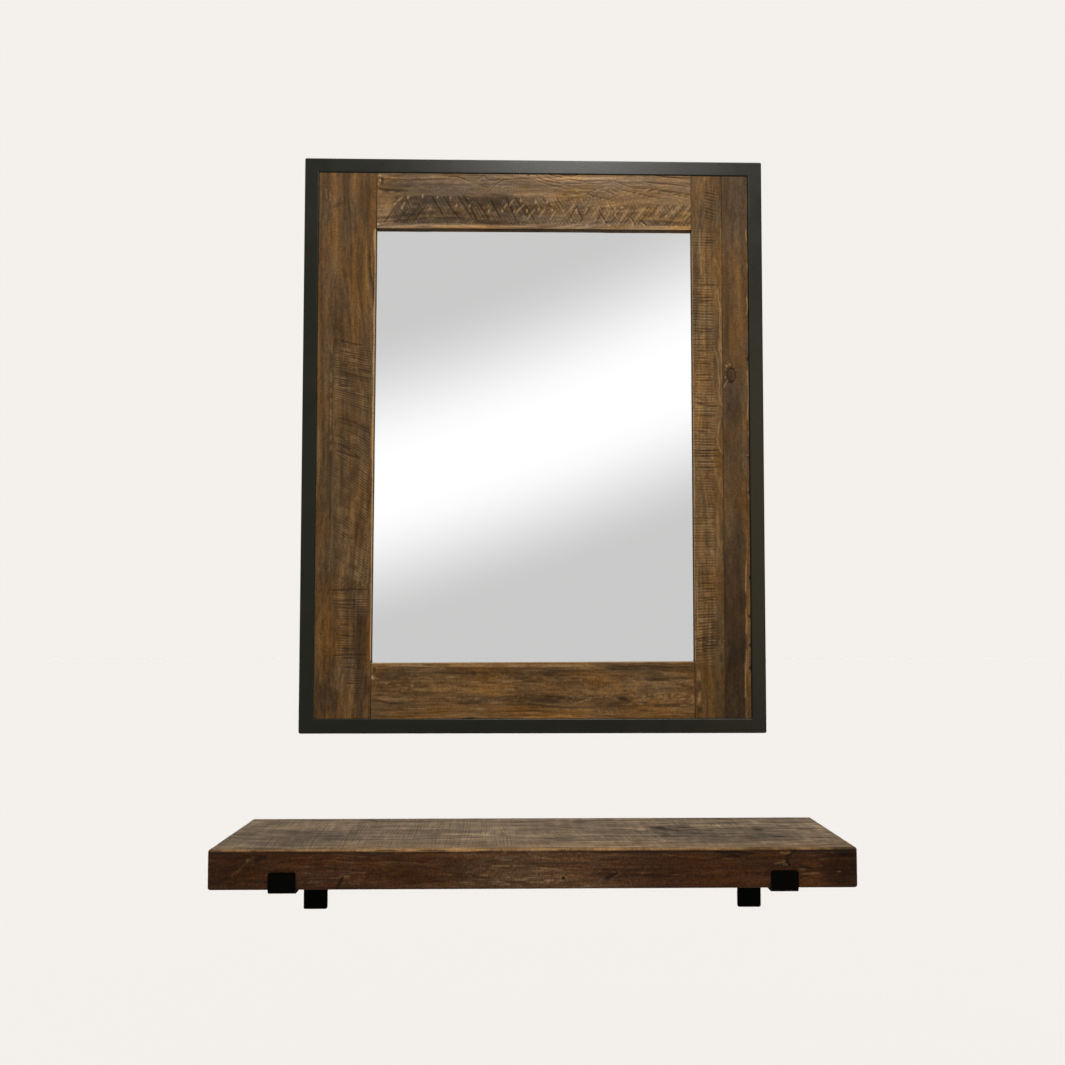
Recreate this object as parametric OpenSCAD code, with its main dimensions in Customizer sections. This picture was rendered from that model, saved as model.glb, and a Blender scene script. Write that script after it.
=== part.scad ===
// Wall mirror in a reclaimed timber frame with a square steel tube round it, and the thick timber
// shelf on two bent steel brackets that hangs under it.
// X runs to the right, +Y into the wall and +Z up. The wall is the plane y = 0. The origin is the
// centre of the four wall screw holes in the shelf brackets.

/* [Steel frame] */
// Overall width of the steel frame
frame_w = 800; // [560:10:1200]
// Overall height of the steel frame
frame_h = 1000; // [760:10:1400]
// Width of the tube's front face
steel_w = 25; // [20:1:40]
// Wall thickness of the tube
steel_wall = 2; // [1.5:0.5:3]
// Outside radius of the tube's long edges
steel_edge_r = 2; // [1:0.5:4]
// Inside radius of the tube's long edges
steel_inner_r = 0.5; // [0.5:0.5:2]
// Radius of the frame's four ground corners
steel_corner_r = 4; // [1:0.5:5]

/* [Timber frame] */
// Width of each stile and rail
board_w = 96; // [80:1:130]
// Thickness of the timber
timber_t = 21; // [18:0.5:28]
// How far the timber's face lies behind the steel's face
recess = 1; // [0.5:0.5:6]
// Width of the right stile's board beside the glass; its outer board takes the rest
inner_board_w = 50.5; // [45:0.5:60]
// Width of the rebate that holds the glass
rebate_w = 10; // [6:0.5:14]
// Diameter of the beech dowels
dowel_d = 8; // [6:1:10]
// Length of the beech dowels
dowel_len = 40; // [30:1:50]
// Distance between the two dowels of one rail joint
dowel_pitch = 50; // [30:1:60]
// Number of dowels along the right stile's board joint
edge_dowels = 4; // [2:2:6]

/* [Glass and backing] */
// Thickness of the silvered glass
glass_t = 4; // [3:0.5:6]
// Thickness of the foam sheet behind the glass
foam_t = 2; // [1:0.5:3]
// Thickness of the backing board
backing_t = 6; // [4:0.5:7]
// Gap between the glass and the rebate's walls
glass_gap = 1; // [0.5:0.5:3]

/* [Turn buttons] */
// Distance from one turn button to the next along a stile
button_pitch = 270; // [240:5:330]
// Length of a turn button
button_len = 32; // [26:1:40]
// Width of a turn button
button_w = 12; // [10:1:16]
// Thickness of a turn button
button_t = 1.8; // [1.2:0.2:2.4]
// Distance from the rebate's edge to the pivot screw
button_inset = 8; // [7:0.5:12]

/* [Hanging rings] */
// Height of the hanging rings above the mirror's middle
hanger_rise = 190; // [160:5:200]
// Distance from the rebate's edge to the ring's pivot
hanger_inset = 11; // [8:0.5:14]
// Diameter of the ring's wire
wire_d = 3; // [2.5:0.1:3.6]
// Half the height of the ring, to the middle of the wire
ring_half = 14.5; // [12:0.5:18]
// Length of the ring's straight sides
ring_leg = 4; // [2:0.5:6]
// Bend radius of the ring's two square corners
ring_bend = 3; // [2.5:0.5:4]
// Width of the strap
strap_w = 14; // [12:1:16]
// Thickness of the strap
strap_t = 1.2; // [1:0.1:1.5]
// Length of the strap's flat part
strap_len = 41; // [40:1:50]

/* [Fixings] */
// Width of a fixing tab along the tube
tab_w = 30; // [20:1:40]
// How far a fixing tab reaches over the timber
tab_reach = 25; // [18:1:35]
// Thickness of a fixing tab
tab_t = 3; // [2:0.5:4]
// Diameter of the small screws' shanks
screw_d = 3.5; // [3:0.5:4]
// Diameter of the small screws' heads
head_d = 7; // [6:0.5:8]
// Height of the small screws' heads
head_h = 2; // [1.5:0.1:2.4]
// Depth that the small screws go into the timber
screw_hold = 12; // [10:1:14]
// Diameter of the wall bumpers
bumper_d = 16; // [12:1:20]
// Thickness of the wall bumpers
bumper_t = 4; // [3:0.5:6]

/* [Shelf] */
// Length of the shelf board
shelf_w = 965; // [830:5:1300]
// Depth of the shelf board
shelf_d = 250; // [200:5:320]
// Thickness of the shelf board
shelf_t = 60; // [40:1:70]
// Radius of the shelf board's long edges
shelf_edge_r = 4; // [3.5:0.5:8]
// Clear height between the shelf and the mirror
hang_gap = 148; // [80:1:300]

/* [Shelf brackets] */
// Distance between the middles of the two brackets
bracket_pitch = 745; // [400:5:780]
// Width of the flat bar
bar_w = 40; // [30:1:50]
// Thickness of the flat bar
bar_t = 5; // [4:0.5:8]
// Inside radius of the bends
bend_r = 3; // [2:0.5:3.5]
// Corner radius at the bar's cut ends
bar_corner_r = 3; // [1:0.5:6]
// How far the front lip stands above the shelf's underside
lip_h = 26.5; // [18:0.5:38]
// How far the wall plate hangs below the shelf's underside
plate_drop = 92; // [80:1:150]
// Diameter of the wall screw holes
wall_hole_d = 6.5; // [5:0.5:8]
// Distance between the two wall screw holes of one bracket
wall_hole_pitch = 35; // [25:1:50]
// Depth of the upper wall screw hole below the shelf's underside
wall_hole_drop = 18; // [16:1:25]
// Diameter of the screws that hold the shelf down
shelf_screw_d = 5; // [4:0.5:6]
// Depth that those screws go into the shelf
shelf_screw_hold = 30; // [20:1:36]
// Distance of those screws from the middle of the arm
shelf_screw_reach = 70; // [40:1:85]

/* [Hidden] */

$fn = 48;
OVER = 1;          // how far a cutter runs past the face it cuts
PIN_GAP = 0.05;    // radial clearance round a pivot, a screw or a dowel
MOVE_GAP = 0.3;    // clearance between a turn button and what lies above or below it
RING_GAP = 0.4;    // clearance between a ring that is folded back and its strap
END_GAP = 0.5;     // spare depth at the end of a blind hole
BUMPER_CHAMFER = 0.8;
SLOT_W = 0.9;      // width of the cross slots in the screw heads
SLOT_SHARE = 0.5;  // depth of those slots as a share of the head's height
SIDES = [-1, 1];

// Levels from the wall towards the room, all negative
tube_d = recess + timber_t + tab_t;
y_steel_back = -bumper_t;
y_steel_front = y_steel_back - tube_d;
y_timber_front = y_steel_front + recess;
y_timber_back = y_timber_front + timber_t;
y_backing = y_timber_back - backing_t;
y_foam = y_backing - foam_t;
y_glass = y_foam - glass_t;
y_timber_mid = (y_timber_front + y_timber_back) / 2;
y_button = y_timber_back + MOVE_GAP;
y_button_head = y_button + button_t + MOVE_GAP;
y_ring = y_timber_back + strap_t + RING_GAP + wire_d / 2;

// Heights, and half widths and half heights from the mirror's middle
z_shelf_bottom = wall_hole_drop + wall_hole_pitch / 2;
z_shelf_top = z_shelf_bottom + shelf_t;
z_plate_bottom = z_shelf_bottom - plate_drop;
z_lip_top = z_shelf_bottom + lip_h;
z_arm_bottom = z_shelf_bottom - bar_t;
z_mid = z_shelf_top + hang_gap + frame_h / 2;
inside_x = frame_w / 2 - steel_w;
inside_z = frame_h / 2 - steel_w;
open_x = inside_x - board_w;
open_z = inside_z - board_w;
rebate_x = open_x + rebate_w;
rebate_z = open_z + rebate_w;
joint_x = open_x + inner_board_w;

// Places of the fittings, from the mirror's middle
button_x = rebate_x + button_inset;
button_z = rebate_z + button_inset;
stile_button_places = [for (s = SIDES, k = [-1, 0, 1]) [s * button_x, k * button_pitch]];
rail_button_places = [for (s = SIDES) [0, s * button_z]];
hanger_x = rebate_x + hanger_inset;
strap_hole_near = wire_d + head_d / 2 + 5.5;
strap_hole_far = strap_len - head_d / 2 - 4.5;
hanger_screw_places = [
    for (s = SIDES, away = [strap_hole_near, strap_hole_far]) [s * (hanger_x + away), hanger_rise]
];
tab_screw_in = tab_reach / 2;
stile_tab_z = inside_z / 2;
rail_tab_x = open_x / 2;
fixing_screw_places = [
    for (s = SIDES, t = SIDES) each [
        [s * (inside_x - tab_screw_in), t * stile_tab_z],
        [s * rail_tab_x, t * (inside_z - tab_screw_in)]
    ]
];
shelf_screw_places = [
    for (s = SIDES, t = SIDES) [s * bracket_pitch / 2, -shelf_d / 2 + t * shelf_screw_reach]
];

STEEL = "#23241f";
TIMBER = "#6b4a2a";
DARK_TIMBER = "#46301c";
ZINC = "#b9bab6";

// ---- Shared shapes ----

// A flat shape drawn in X and Z, with thickness t from y up towards the wall
module slab_y(y, t) {
    translate([0, y + t, 0]) rotate([90, 0, 0]) linear_extrude(t) children();
}

// A flat shape drawn in Y and Z, with length len along X, centred on x
module bar_x(x, len) {
    translate([x, 0, 0]) rotate([90, 0, 90]) linear_extrude(len, center = true) children();
}

// A rectangle from one corner to the other
module rect(low, high) {
    translate(low) square(high - low);
}

// A rectangle with corners of radius r
module round_rect(low, high, r) {
    rect(low + [r, 0], high - [r, 0]);
    rect(low + [0, r], high - [0, r]);
    for (x = [low.x + r, high.x - r], y = [low.y + r, high.y - r])
        translate([x, y]) circle(r);
}

// A box from one corner to the other
module block(low, high) {
    translate(low) cube(high - low);
}

// A cylinder along +Y that starts at y
module pin_y(place, y, r, len) {
    translate([place.x, y, place.y]) rotate([-90, 0, 0]) cylinder(r = r, h = len);
}

// Raises what is drawn round the mirror's middle to its height over the shelf
module at_mirror() {
    translate([0, 0, z_mid]) children();
}

// A cross-slotted pan-head screw along Z: its head's underside is at z = 0 and its point is below
module screw(shank_d, head_d, head_h, len) {
    tip = shank_d;
    difference() {
        union() {
            cylinder(r = head_d / 2, h = head_h / 2);
            translate([0, 0, head_h / 2]) cylinder(r1 = head_d / 2, r2 = head_d / 3, h = head_h / 2);
            translate([0, 0, tip - len]) cylinder(r = shank_d / 2, h = len - tip);
            translate([0, 0, -len]) cylinder(r1 = shank_d / 8, r2 = shank_d / 2, h = tip);
        }
        for (turn = [0, 90])
            rotate(turn) translate([-head_d / 4, -SLOT_W / 2, head_h * (1 - SLOT_SHARE)])
                cube([head_d / 2, SLOT_W, head_h]);
    }
}

// Small screws whose heads bear on the level y, through what lies between y and the timber
module small_screws(places, y) {
    for (place = places)
        translate([place.x, y, place.y]) rotate([-90, 0, 0])
            screw(screw_d, head_d, head_h, y - y_timber_back + screw_hold);
}

// ---- Steel frame ----

// One mitred tube along X whose outer face is z = 0 and whose inner face is z = -steel_w
module mitred_tube(len) {
    intersection() {
        bar_x(0, len) difference() {
            round_rect([y_steel_front, -steel_w], [y_steel_back, 0], steel_edge_r);
            round_rect([y_steel_front + steel_wall, steel_wall - steel_w],
                       [y_steel_back - steel_wall, -steel_wall], steel_inner_r);
        }
        slab_y(y_steel_front - OVER, tube_d + 2 * OVER)
            polygon([[-len / 2, 0], [len / 2, 0], [len / 2 - steel_w, -steel_w], [steel_w - len / 2, -steel_w]]);
    }
}

// Keeps what lies inside the steel frame's outline with its ground corners
module ground_corners() {
    color(STEEL) at_mirror() intersection() {
        children();
        slab_y(y_steel_front - OVER, tube_d + 2 * OVER)
            round_rect([-frame_w, -frame_h] / 2, [frame_w, frame_h] / 2, steel_corner_r);
    }
}

module steel_tube_top() {
    ground_corners() translate([0, 0, frame_h / 2]) mitred_tube(frame_w);
}

module steel_tube_bottom() {
    ground_corners() translate([0, 0, -frame_h / 2]) mirror([0, 0, 1]) mitred_tube(frame_w);
}

module steel_tube_left() {
    ground_corners() translate([-frame_w / 2, 0, 0]) rotate([0, -90, 0]) mitred_tube(frame_h);
}

module steel_tube_right() {
    ground_corners() translate([frame_w / 2, 0, 0]) rotate([0, 90, 0]) mitred_tube(frame_h);
}

// ---- Timber frame ----

// The dowels of the four rail joints and of the right stile's board joint
module dowels(gap) {
    rail_mid = (open_z + inside_z) / 2;
    for (s = SIDES, t = SIDES, u = SIDES)
        dowel_at(s * open_x, t * rail_mid + u * dowel_pitch / 2, gap);
    for (k = [1 : edge_dowels])
        dowel_at(joint_x, (2 * k - 1 - edge_dowels) / edge_dowels * inside_z, gap);
}

module dowel_at(x, z, gap) {
    translate([x, y_timber_mid, z]) rotate([0, 90, 0])
        cylinder(r = dowel_d / 2 + gap, h = dowel_len + (gap > 0 ? 2 * END_GAP : 0), center = true);
}

// The pilot holes of every small screw in the back of the timber
module pilot_holes() {
    for (place = concat(stile_button_places, rail_button_places, hanger_screw_places, fixing_screw_places))
        pin_y(place, y_timber_back - screw_hold - END_GAP, screw_d / 2 + PIN_GAP, screw_hold + END_GAP + OVER);
}

// A board with its share of the rebate, the dowel holes and the pilot holes
module frame_board(low, high) {
    color(TIMBER) at_mirror() difference() {
        block([low.x, y_timber_front, low.y], [high.x, y_timber_back, high.y]);
        block([-rebate_x, y_glass, -rebate_z], [rebate_x, y_timber_back + OVER, rebate_z]);
        dowels(PIN_GAP);
        pilot_holes();
    }
}

module top_rail() {
    frame_board([-open_x, open_z], [open_x, inside_z]);
}

module bottom_rail() {
    frame_board([-open_x, -inside_z], [open_x, -open_z]);
}

module left_stile() {
    frame_board([-inside_x, -inside_z], [-open_x, inside_z]);
}

module right_stile_inner_board() {
    frame_board([open_x, -inside_z], [joint_x, inside_z]);
}

module right_stile_outer_board() {
    frame_board([joint_x, -inside_z], [inside_x, inside_z]);
}

module frame_dowels() {
    color("#c9a36b") at_mirror() dowels(0);
}

// ---- Fixing of the timber in the steel ----

module fixing_tab(low, high) {
    difference() {
        block([low.x, y_timber_back, low.y], [high.x, y_timber_back + tab_t, high.y]);
        for (place = fixing_screw_places)
            pin_y(place, y_timber_back - OVER, screw_d / 2 + PIN_GAP, tab_t + 2 * OVER);
    }
}

// Steel tabs welded to the tubes' inner faces, which lie over the back of the timber
module fixing_tabs() {
    color(STEEL) at_mirror() for (s = SIDES, t = SIDES) {
        mirror([s < 0 ? 1 : 0, 0, 0])
            fixing_tab([inside_x - tab_reach, t * stile_tab_z - tab_w / 2],
                       [inside_x, t * stile_tab_z + tab_w / 2]);
        mirror([0, 0, t < 0 ? 1 : 0])
            fixing_tab([s * rail_tab_x - tab_w / 2, inside_z - tab_reach],
                       [s * rail_tab_x + tab_w / 2, inside_z]);
    }
}

module fixing_screws() {
    color(ZINC) at_mirror() small_screws(fixing_screw_places, y_timber_back + tab_t);
}

// ---- Glass and backing ----

// A sheet that fills the rebate, from the level y
module rebate_sheet(y, t, gap) {
    at_mirror() block([gap - rebate_x, y, gap - rebate_z], [rebate_x - gap, y + t, rebate_z - gap]);
}

module mirror_glass() {
    color("#cfd2d2") rebate_sheet(y_glass, glass_t, glass_gap);
}

module foam_sheet() {
    color("#e8e6df") rebate_sheet(y_foam, foam_t, glass_gap);
}

module backing_board() {
    color("#8a6a48") rebate_sheet(y_backing, backing_t, glass_gap);
}

// ---- Turn buttons ----

// A button that pivots at place and points along the angle turn, measured from +X towards +Z
module turn_button(place, turn) {
    r = button_w / 2;
    color(ZINC) at_mirror() translate([place.x, 0, place.y]) rotate([0, -turn, 0])
        slab_y(y_button, button_t) difference() {
            union() {
                circle(r);
                rect([0, -r], [button_len - 2 * r, r]);
                translate([button_len - 2 * r, 0]) circle(r);
            }
            circle(screw_d / 2 + PIN_GAP);
        }
}

module turn_button_left(k) {
    turn_button([-button_x, k * button_pitch], 0);
}

module turn_button_right(k) {
    turn_button([button_x, k * button_pitch], 180);
}

module turn_button_top() {
    turn_button([0, button_z], -90);
}

module turn_button_bottom() {
    turn_button([0, -button_z], 90);
}

module turn_button_screws() {
    color(ZINC) at_mirror() small_screws(concat(stile_button_places, rail_button_places), y_button_head);
}

// ---- Hanging rings ----

// Puts a hanger that points along +X on the left stile, and its mirror image on the right one
module at_hanger(side) {
    at_mirror() mirror([side > 0 ? 1 : 0, 0, 0]) translate([-hanger_x, 0, hanger_rise]) children();
}

// The strap with its eye round the ring's straight side, which is on the Z axis
module hanger_strap(side) {
    eye_r = wire_d / 2 + PIN_GAP;
    color(ZINC) at_hanger(side) difference() {
        union() {
            translate([0, y_ring, 0]) cylinder(r = eye_r + strap_t, h = strap_w, center = true);
            slab_y(y_timber_back, strap_t)
                round_rect([-strap_len, -strap_w / 2], [eye_r, strap_w / 2], 1);
        }
        translate([0, y_ring, 0]) cylinder(r = eye_r, h = strap_w + 2 * OVER, center = true);
        for (away = [strap_hole_near, strap_hole_far])
            pin_y([-away, 0], y_timber_back - OVER, screw_d / 2 + PIN_GAP, strap_t + 2 * OVER);
    }
}

// A bend of the ring's wire in the plane of the ring, turning through the angle a from +X towards +Z
module wire_bend(r, a) {
    rotate([90, 0, 0]) rotate_extrude(angle = a) translate([r, 0]) circle(wire_d / 2);
}

// A ring with one straight side on the Z axis and its bow towards +X
module hanger_ring(side) {
    color(ZINC) at_hanger(side) translate([0, y_ring, 0]) {
        cylinder(r = wire_d / 2, h = 2 * (ring_half - ring_bend), center = true);
        for (s = SIDES) {
            translate([ring_bend, 0, s * (ring_half - ring_bend)])
                rotate([0, s > 0 ? -90 : 180, 0]) wire_bend(ring_bend, 90);
            translate([ring_bend, 0, s * ring_half]) rotate([0, 90, 0])
                cylinder(r = wire_d / 2, h = ring_leg);
        }
        translate([ring_bend + ring_leg, 0, 0]) rotate([0, 90, 0]) wire_bend(ring_half, 180);
    }
}

module hanger_screws() {
    color(ZINC) at_mirror() small_screws(hanger_screw_places, y_timber_back + strap_t);
}

// ---- Wall bumpers ----

module wall_bumpers() {
    in = steel_w / 2;
    r = bumper_d / 2;
    color("#2b2b2b") at_mirror() for (s = SIDES, t = SIDES)
        translate([s * (frame_w / 2 - in), y_steel_back, t * (frame_h / 2 - in)]) rotate([-90, 0, 0]) {
            cylinder(r = r, h = bumper_t - BUMPER_CHAMFER);
            translate([0, 0, bumper_t - BUMPER_CHAMFER])
                cylinder(r1 = r, r2 = r - BUMPER_CHAMFER, h = BUMPER_CHAMFER);
        }
}

// ---- Shelf ----

module shelf_board() {
    color(DARK_TIMBER) difference() {
        bar_x(0, shelf_w) round_rect([-shelf_d, z_shelf_bottom], [0, z_shelf_top], shelf_edge_r);
        for (place = shelf_screw_places)
            translate([place.x, place.y, z_shelf_bottom - OVER])
                cylinder(r = shelf_screw_d / 2 + PIN_GAP, h = shelf_screw_hold + END_GAP + OVER);
    }
}

// A quarter of a bent bar's section round the bend's centre, on the side of the corner sign
module bend_quarter(centre, sign) {
    outer = bend_r + bar_t;
    translate(centre) intersection() {
        difference() {
            circle(outer);
            circle(bend_r);
        }
        translate([min(0, sign.x * outer), min(0, sign.y * outer)]) square(outer);
    }
}

// The side view of a bracket, in Y and Z: wall plate, arm under the board and front lip
module bracket_section() {
    outer = bend_r + bar_t;
    rect([-bar_t, z_plate_bottom], [0, z_shelf_bottom - outer]);
    bend_quarter([-outer, z_shelf_bottom - outer], [1, 1]);
    rect([-shelf_d + bend_r, z_arm_bottom], [-outer, z_shelf_bottom]);
    bend_quarter([-shelf_d + bend_r, z_shelf_bottom + bend_r], [-1, -1]);
    rect([-shelf_d - bar_t, z_shelf_bottom + bend_r], [-shelf_d, z_lip_top]);
}

module shelf_bracket(side) {
    x = side * bracket_pitch / 2;
    color(STEEL) difference() {
        intersection() {
            bar_x(x, bar_w) bracket_section();
            slab_y(-shelf_d - bar_t - OVER, shelf_d + bar_t + 2 * OVER)
                round_rect([x - bar_w / 2, z_plate_bottom], [x + bar_w / 2, z_lip_top], bar_corner_r);
        }
        for (t = SIDES)
            pin_y([x, t * wall_hole_pitch / 2], -bar_t - OVER, wall_hole_d / 2, bar_t + 2 * OVER);
        for (place = shelf_screw_places)
            translate([place.x, place.y, z_arm_bottom - OVER])
                cylinder(r = shelf_screw_d / 2 + PIN_GAP, h = bar_t + 2 * OVER);
    }
}

module shelf_screws() {
    color(STEEL) for (place = shelf_screw_places)
        translate([place.x, place.y, z_arm_bottom]) mirror([0, 0, 1])
            screw(shelf_screw_d, 2 * shelf_screw_d, 0.6 * shelf_screw_d, bar_t + shelf_screw_hold);
}

steel_tube_top();
steel_tube_bottom();
steel_tube_left();
steel_tube_right();
top_rail();
bottom_rail();
left_stile();
right_stile_inner_board();
right_stile_outer_board();
frame_dowels();
fixing_tabs();
fixing_screws();
mirror_glass();
foam_sheet();
backing_board();
turn_button_left(-1);  // turn_button_left_low
turn_button_left(0);  // turn_button_left_mid
turn_button_left(1);  // turn_button_left_high
turn_button_right(-1);  // turn_button_right_low
turn_button_right(0);  // turn_button_right_mid
turn_button_right(1);  // turn_button_right_high
turn_button_top();
turn_button_bottom();
turn_button_screws();
hanger_strap(-1);  // hanger_strap_left
hanger_strap(1);  // hanger_strap_right
hanger_ring(-1);  // hanger_ring_left
hanger_ring(1);  // hanger_ring_right
hanger_screws();
wall_bumpers();
shelf_board();
shelf_bracket(-1);  // shelf_bracket_left
shelf_bracket(1);  // shelf_bracket_right
shelf_screws();
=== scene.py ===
"""Looks of a wall mirror in a black steel frame faced with old timber, and of the thick timber
shelf that hangs below it on two flat-bar brackets.

The steel, the glass, the backing and the hardware keep their solids from the frame and get their
finishes here. The five facing boards and the shelf are rebuilt as sawn, worn and cracked timber,
and the foam behind the glass as a thin pad. Places on the facing are in millimetres from the
middle of the mirror, and places on the shelf in millimetres from the frame's origin.
"""

import math

import bpy
import numpy as np
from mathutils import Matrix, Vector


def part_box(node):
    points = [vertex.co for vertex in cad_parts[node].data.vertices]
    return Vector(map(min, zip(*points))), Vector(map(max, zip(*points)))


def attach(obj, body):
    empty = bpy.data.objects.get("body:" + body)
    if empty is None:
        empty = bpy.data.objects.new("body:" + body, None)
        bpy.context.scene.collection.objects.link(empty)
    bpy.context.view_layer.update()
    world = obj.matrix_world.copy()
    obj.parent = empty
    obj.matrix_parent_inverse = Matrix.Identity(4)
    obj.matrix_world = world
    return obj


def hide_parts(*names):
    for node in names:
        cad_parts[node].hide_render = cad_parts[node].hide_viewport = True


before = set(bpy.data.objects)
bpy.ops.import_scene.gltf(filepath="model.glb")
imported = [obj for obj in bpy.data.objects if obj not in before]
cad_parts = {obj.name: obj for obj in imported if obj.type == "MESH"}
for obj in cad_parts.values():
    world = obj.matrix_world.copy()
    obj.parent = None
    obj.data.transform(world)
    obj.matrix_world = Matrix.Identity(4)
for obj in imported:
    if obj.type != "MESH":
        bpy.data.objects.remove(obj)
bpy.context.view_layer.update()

MM = 0.001

# ---------------------------------------------------------------- noise and marks on timber


def scatter(column, row, seed):
    """A repeatable random number from 0 to 1 for each whole-numbered place."""
    n = (column * 73856093) ^ (row * 19349663) ^ (seed * 83492791)
    n = ((n ^ (n >> 13)) * 1274126177) & 0x7FFFFFFF
    n = ((n ^ (n >> 15)) * 668265263) & 0x7FFFFFFF
    return ((n ^ (n >> 16)) & 0xFFFF) / 65535.0


def cloud(u, v, size_u, size_v, seed, octaves=2):
    """Soft noise from 0 to 1 whose patches measure about size_u by size_v."""
    total, weight, share = 0.0, 0.0, 1.0
    for octave in range(octaves):
        a, b = u / size_u * 2**octave, v / size_v * 2**octave
        column, row = np.floor(a).astype(np.int64), np.floor(b).astype(np.int64)
        a, b = a - column, b - row
        a, b = a * a * (3 - 2 * a), b * b * (3 - 2 * b)
        corner = [scatter(column + i, row + j, seed + octave) for j in (0, 1) for i in (0, 1)]
        low, high = corner[0] + (corner[1] - corner[0]) * a, corner[2] + (corner[3] - corner[2]) * a
        total, weight = total + (low + (high - low) * b) * share, weight + share
        share *= 0.5
    return total / weight


def wave(along, size, seed, octaves=2):
    """Soft noise from 0 to 1 that changes along one line only."""
    return cloud(along, along * 0, size, 1, seed, octaves)


def fade(value, start, end):
    """0 at start and 1 at end, with a soft turn at both. It also runs downhill, from a high start."""
    t = np.clip((value - start) / (end - start), 0.0, 1.0)
    return t * t * (3 - 2 * t)


def window(value, low, high, soft):
    """1 between low and high, and 0 outside them. soft is half the width of each edge."""
    return fade(value, low - soft, low + soft) * fade(value, high + soft, high - soft)


def spot(x, z, place, size, seed, tilt=0.0, ragged=0.35):
    """A ragged oval: 1 in its middle, and 0 past size = (half width, half height)."""
    c, s = math.cos(math.radians(tilt)), math.sin(math.radians(tilt))
    u, v = x - place[0], z - place[1]
    u, v = (u * c + v * s) / size[0], (v * c - u * s) / size[1]
    rough = 1 + ragged * (cloud(x, z, size[0] * 0.7, size[1] * 0.7, seed + 5) - 0.5) * 2
    return fade(np.hypot(u, v), rough, rough * 0.45)


def stroke(x, z, start, end, width, seed):
    """A line of that width from start to end, thin at its ends and slightly unsteady."""
    along = np.array(end, float) - np.array(start, float)
    length = np.hypot(*along)
    u, v = x - start[0], z - start[1]
    t = (u * along[0] + v * along[1]) / length
    off = (v * along[0] - u * along[1]) / length + (wave(t, 26, seed=seed) - 0.5) * width * 1.3
    half = width / 2 * np.sin(np.clip(t / length, 0, 1) * math.pi) ** 0.6
    half = half * (0.55 + 0.8 * wave(t, 7, seed=seed + 1))
    return fade(np.abs(off), half + width * 0.3, half * 0.3) * window(t, 0, length, width * 0.3)


def kerfs(across, along, pitch, seed, reach, waver):
    """Saw marks: grooves a pitch apart, each with its own depth, which come and go along their length."""
    place = across / pitch + (cloud(across, along, pitch * 6, 40.0, seed) - 0.5) * waver
    number = np.floor(place).astype(np.int64)
    depth = 0.4 + 0.6 * scatter(number, number * 0, seed + 1)
    groove = (0.5 - 0.5 * np.cos((place - number) * 2 * math.pi)) ** 1.2
    broken = fade(cloud(along, number * 7.0, 16, 1, seed=seed + 2, octaves=1), 1 - reach - 0.2, 1 - reach + 0.2)
    return groove * depth * broken


class Relief:
    """What time and the saw did to one face, with the painted shade and highlights laid on it: its height in
    millimetres, how bare and how dark it is, how much lighter or darker it is, and how far its grain is pushed aside."""

    def __init__(self, x, z):
        self.x, self.z = x, z
        self.height, self.bare_and_highlight, self.dark, self.shade, self.push = (np.zeros_like(x) for _ in range(5))

    def cut(self, mask, depth=0.0, bare_and_highlight=0.0, dark=0.0, shade=0.0):
        """Marks the face where the mask is. Of two dark or two bare marks the stronger counts, and a dark one covers
        what is bare under it."""
        self.height = self.height - mask * depth
        self.bare_and_highlight = np.maximum(self.bare_and_highlight * (1 - mask * dark), mask * bare_and_highlight)
        self.dark = np.maximum(self.dark, mask * dark)
        self.shade = self.shade + mask * shade

    def patchy(self, size_u, size_v, start, end, seed, octaves=2):
        """Soft patches of about that size: 0 where the noise is below start, and 1 where it is past end."""
        return fade(cloud(self.x, self.z, size_u, size_v, seed, octaves), start, end)

    def patches(self, rows, seed):
        """Ragged ovals that are lighter or darker."""
        for x, z, wide, tall, shade in rows:
            self.cut(spot(self.x, self.z, (x, z), (wide, tall), ragged=0.5, seed=seed), shade=shade)

    def strokes(self, rows, width, depth, seed, dark=0.0, bare_and_highlight=0.0, shade=0.0):
        """Straight scratches and cuts of one width."""
        for k, row in enumerate(rows):
            self.cut(stroke(self.x, self.z, row[:2], row[2:], width, seed=seed * 10 + k), depth, bare_and_highlight, dark, shade)

    def veins(self, lines, width, seed, depth=0.3, dark=0.0, bare_and_highlight=0.0, lit=0.0, upright=False):
        """Thin lines along the grain, each through its points in rising order. lit is how strong a painted highlight
        is beside each line, on its side towards the light."""
        along, across = (self.z, self.x) if upright else (self.x, self.z)
        for k, points in enumerate(lines):
            at, level = np.array(points, float).T
            off = across - np.interp(along, at, level) + wave(along, 14, seed=seed * 10 + k) - 0.5
            thick = width / 2 * (0.4 + 1.1 * wave(along, 16, seed=seed * 10 + k + 5))
            ends = window(along, at[0], at[-1], 3.0)
            self.cut(fade(np.abs(off), thick + 0.6, thick * 0.3) * ends, depth=depth, dark=dark, bare_and_highlight=bare_and_highlight)
            if lit:
                # a painted highlight beside the line
                self.cut(fade(np.abs(off + thick + 1.0), 1.2, 0.3) * ends, bare_and_highlight=lit)

    def worn_edge(self, distance, along, width, depth, seed, bare_and_highlight):
        """An arris rubbed to bare wood: distance is from the arris, and width how far the wear reaches."""
        reach = width * (0.45 + 1.1 * wave(along, 45, seed=seed, octaves=3) ** 1.3)
        rub = np.clip(1 - distance / reach, 0, 1)
        self.height = self.height - depth * rub**1.5
        self.bare_and_highlight = np.maximum(self.bare_and_highlight, bare_and_highlight * fade(rub, 0.15, 0.6))


# ---------------------------------------------------------------- the six boards' own marks


# Each board has its own tables of where the larger marks lie. A stroke's row is its two ends, x and z of each. A
# patch's row is its middle, its half width and half height, and how much lighter or darker it is: 1 is a little more
# than double. A row of pairs is a line along the grain through its points, each (along, across). A knock's row is its
# middle, half sizes, tilt and depth, and a gouge's its two ends, width and depth.

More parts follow.
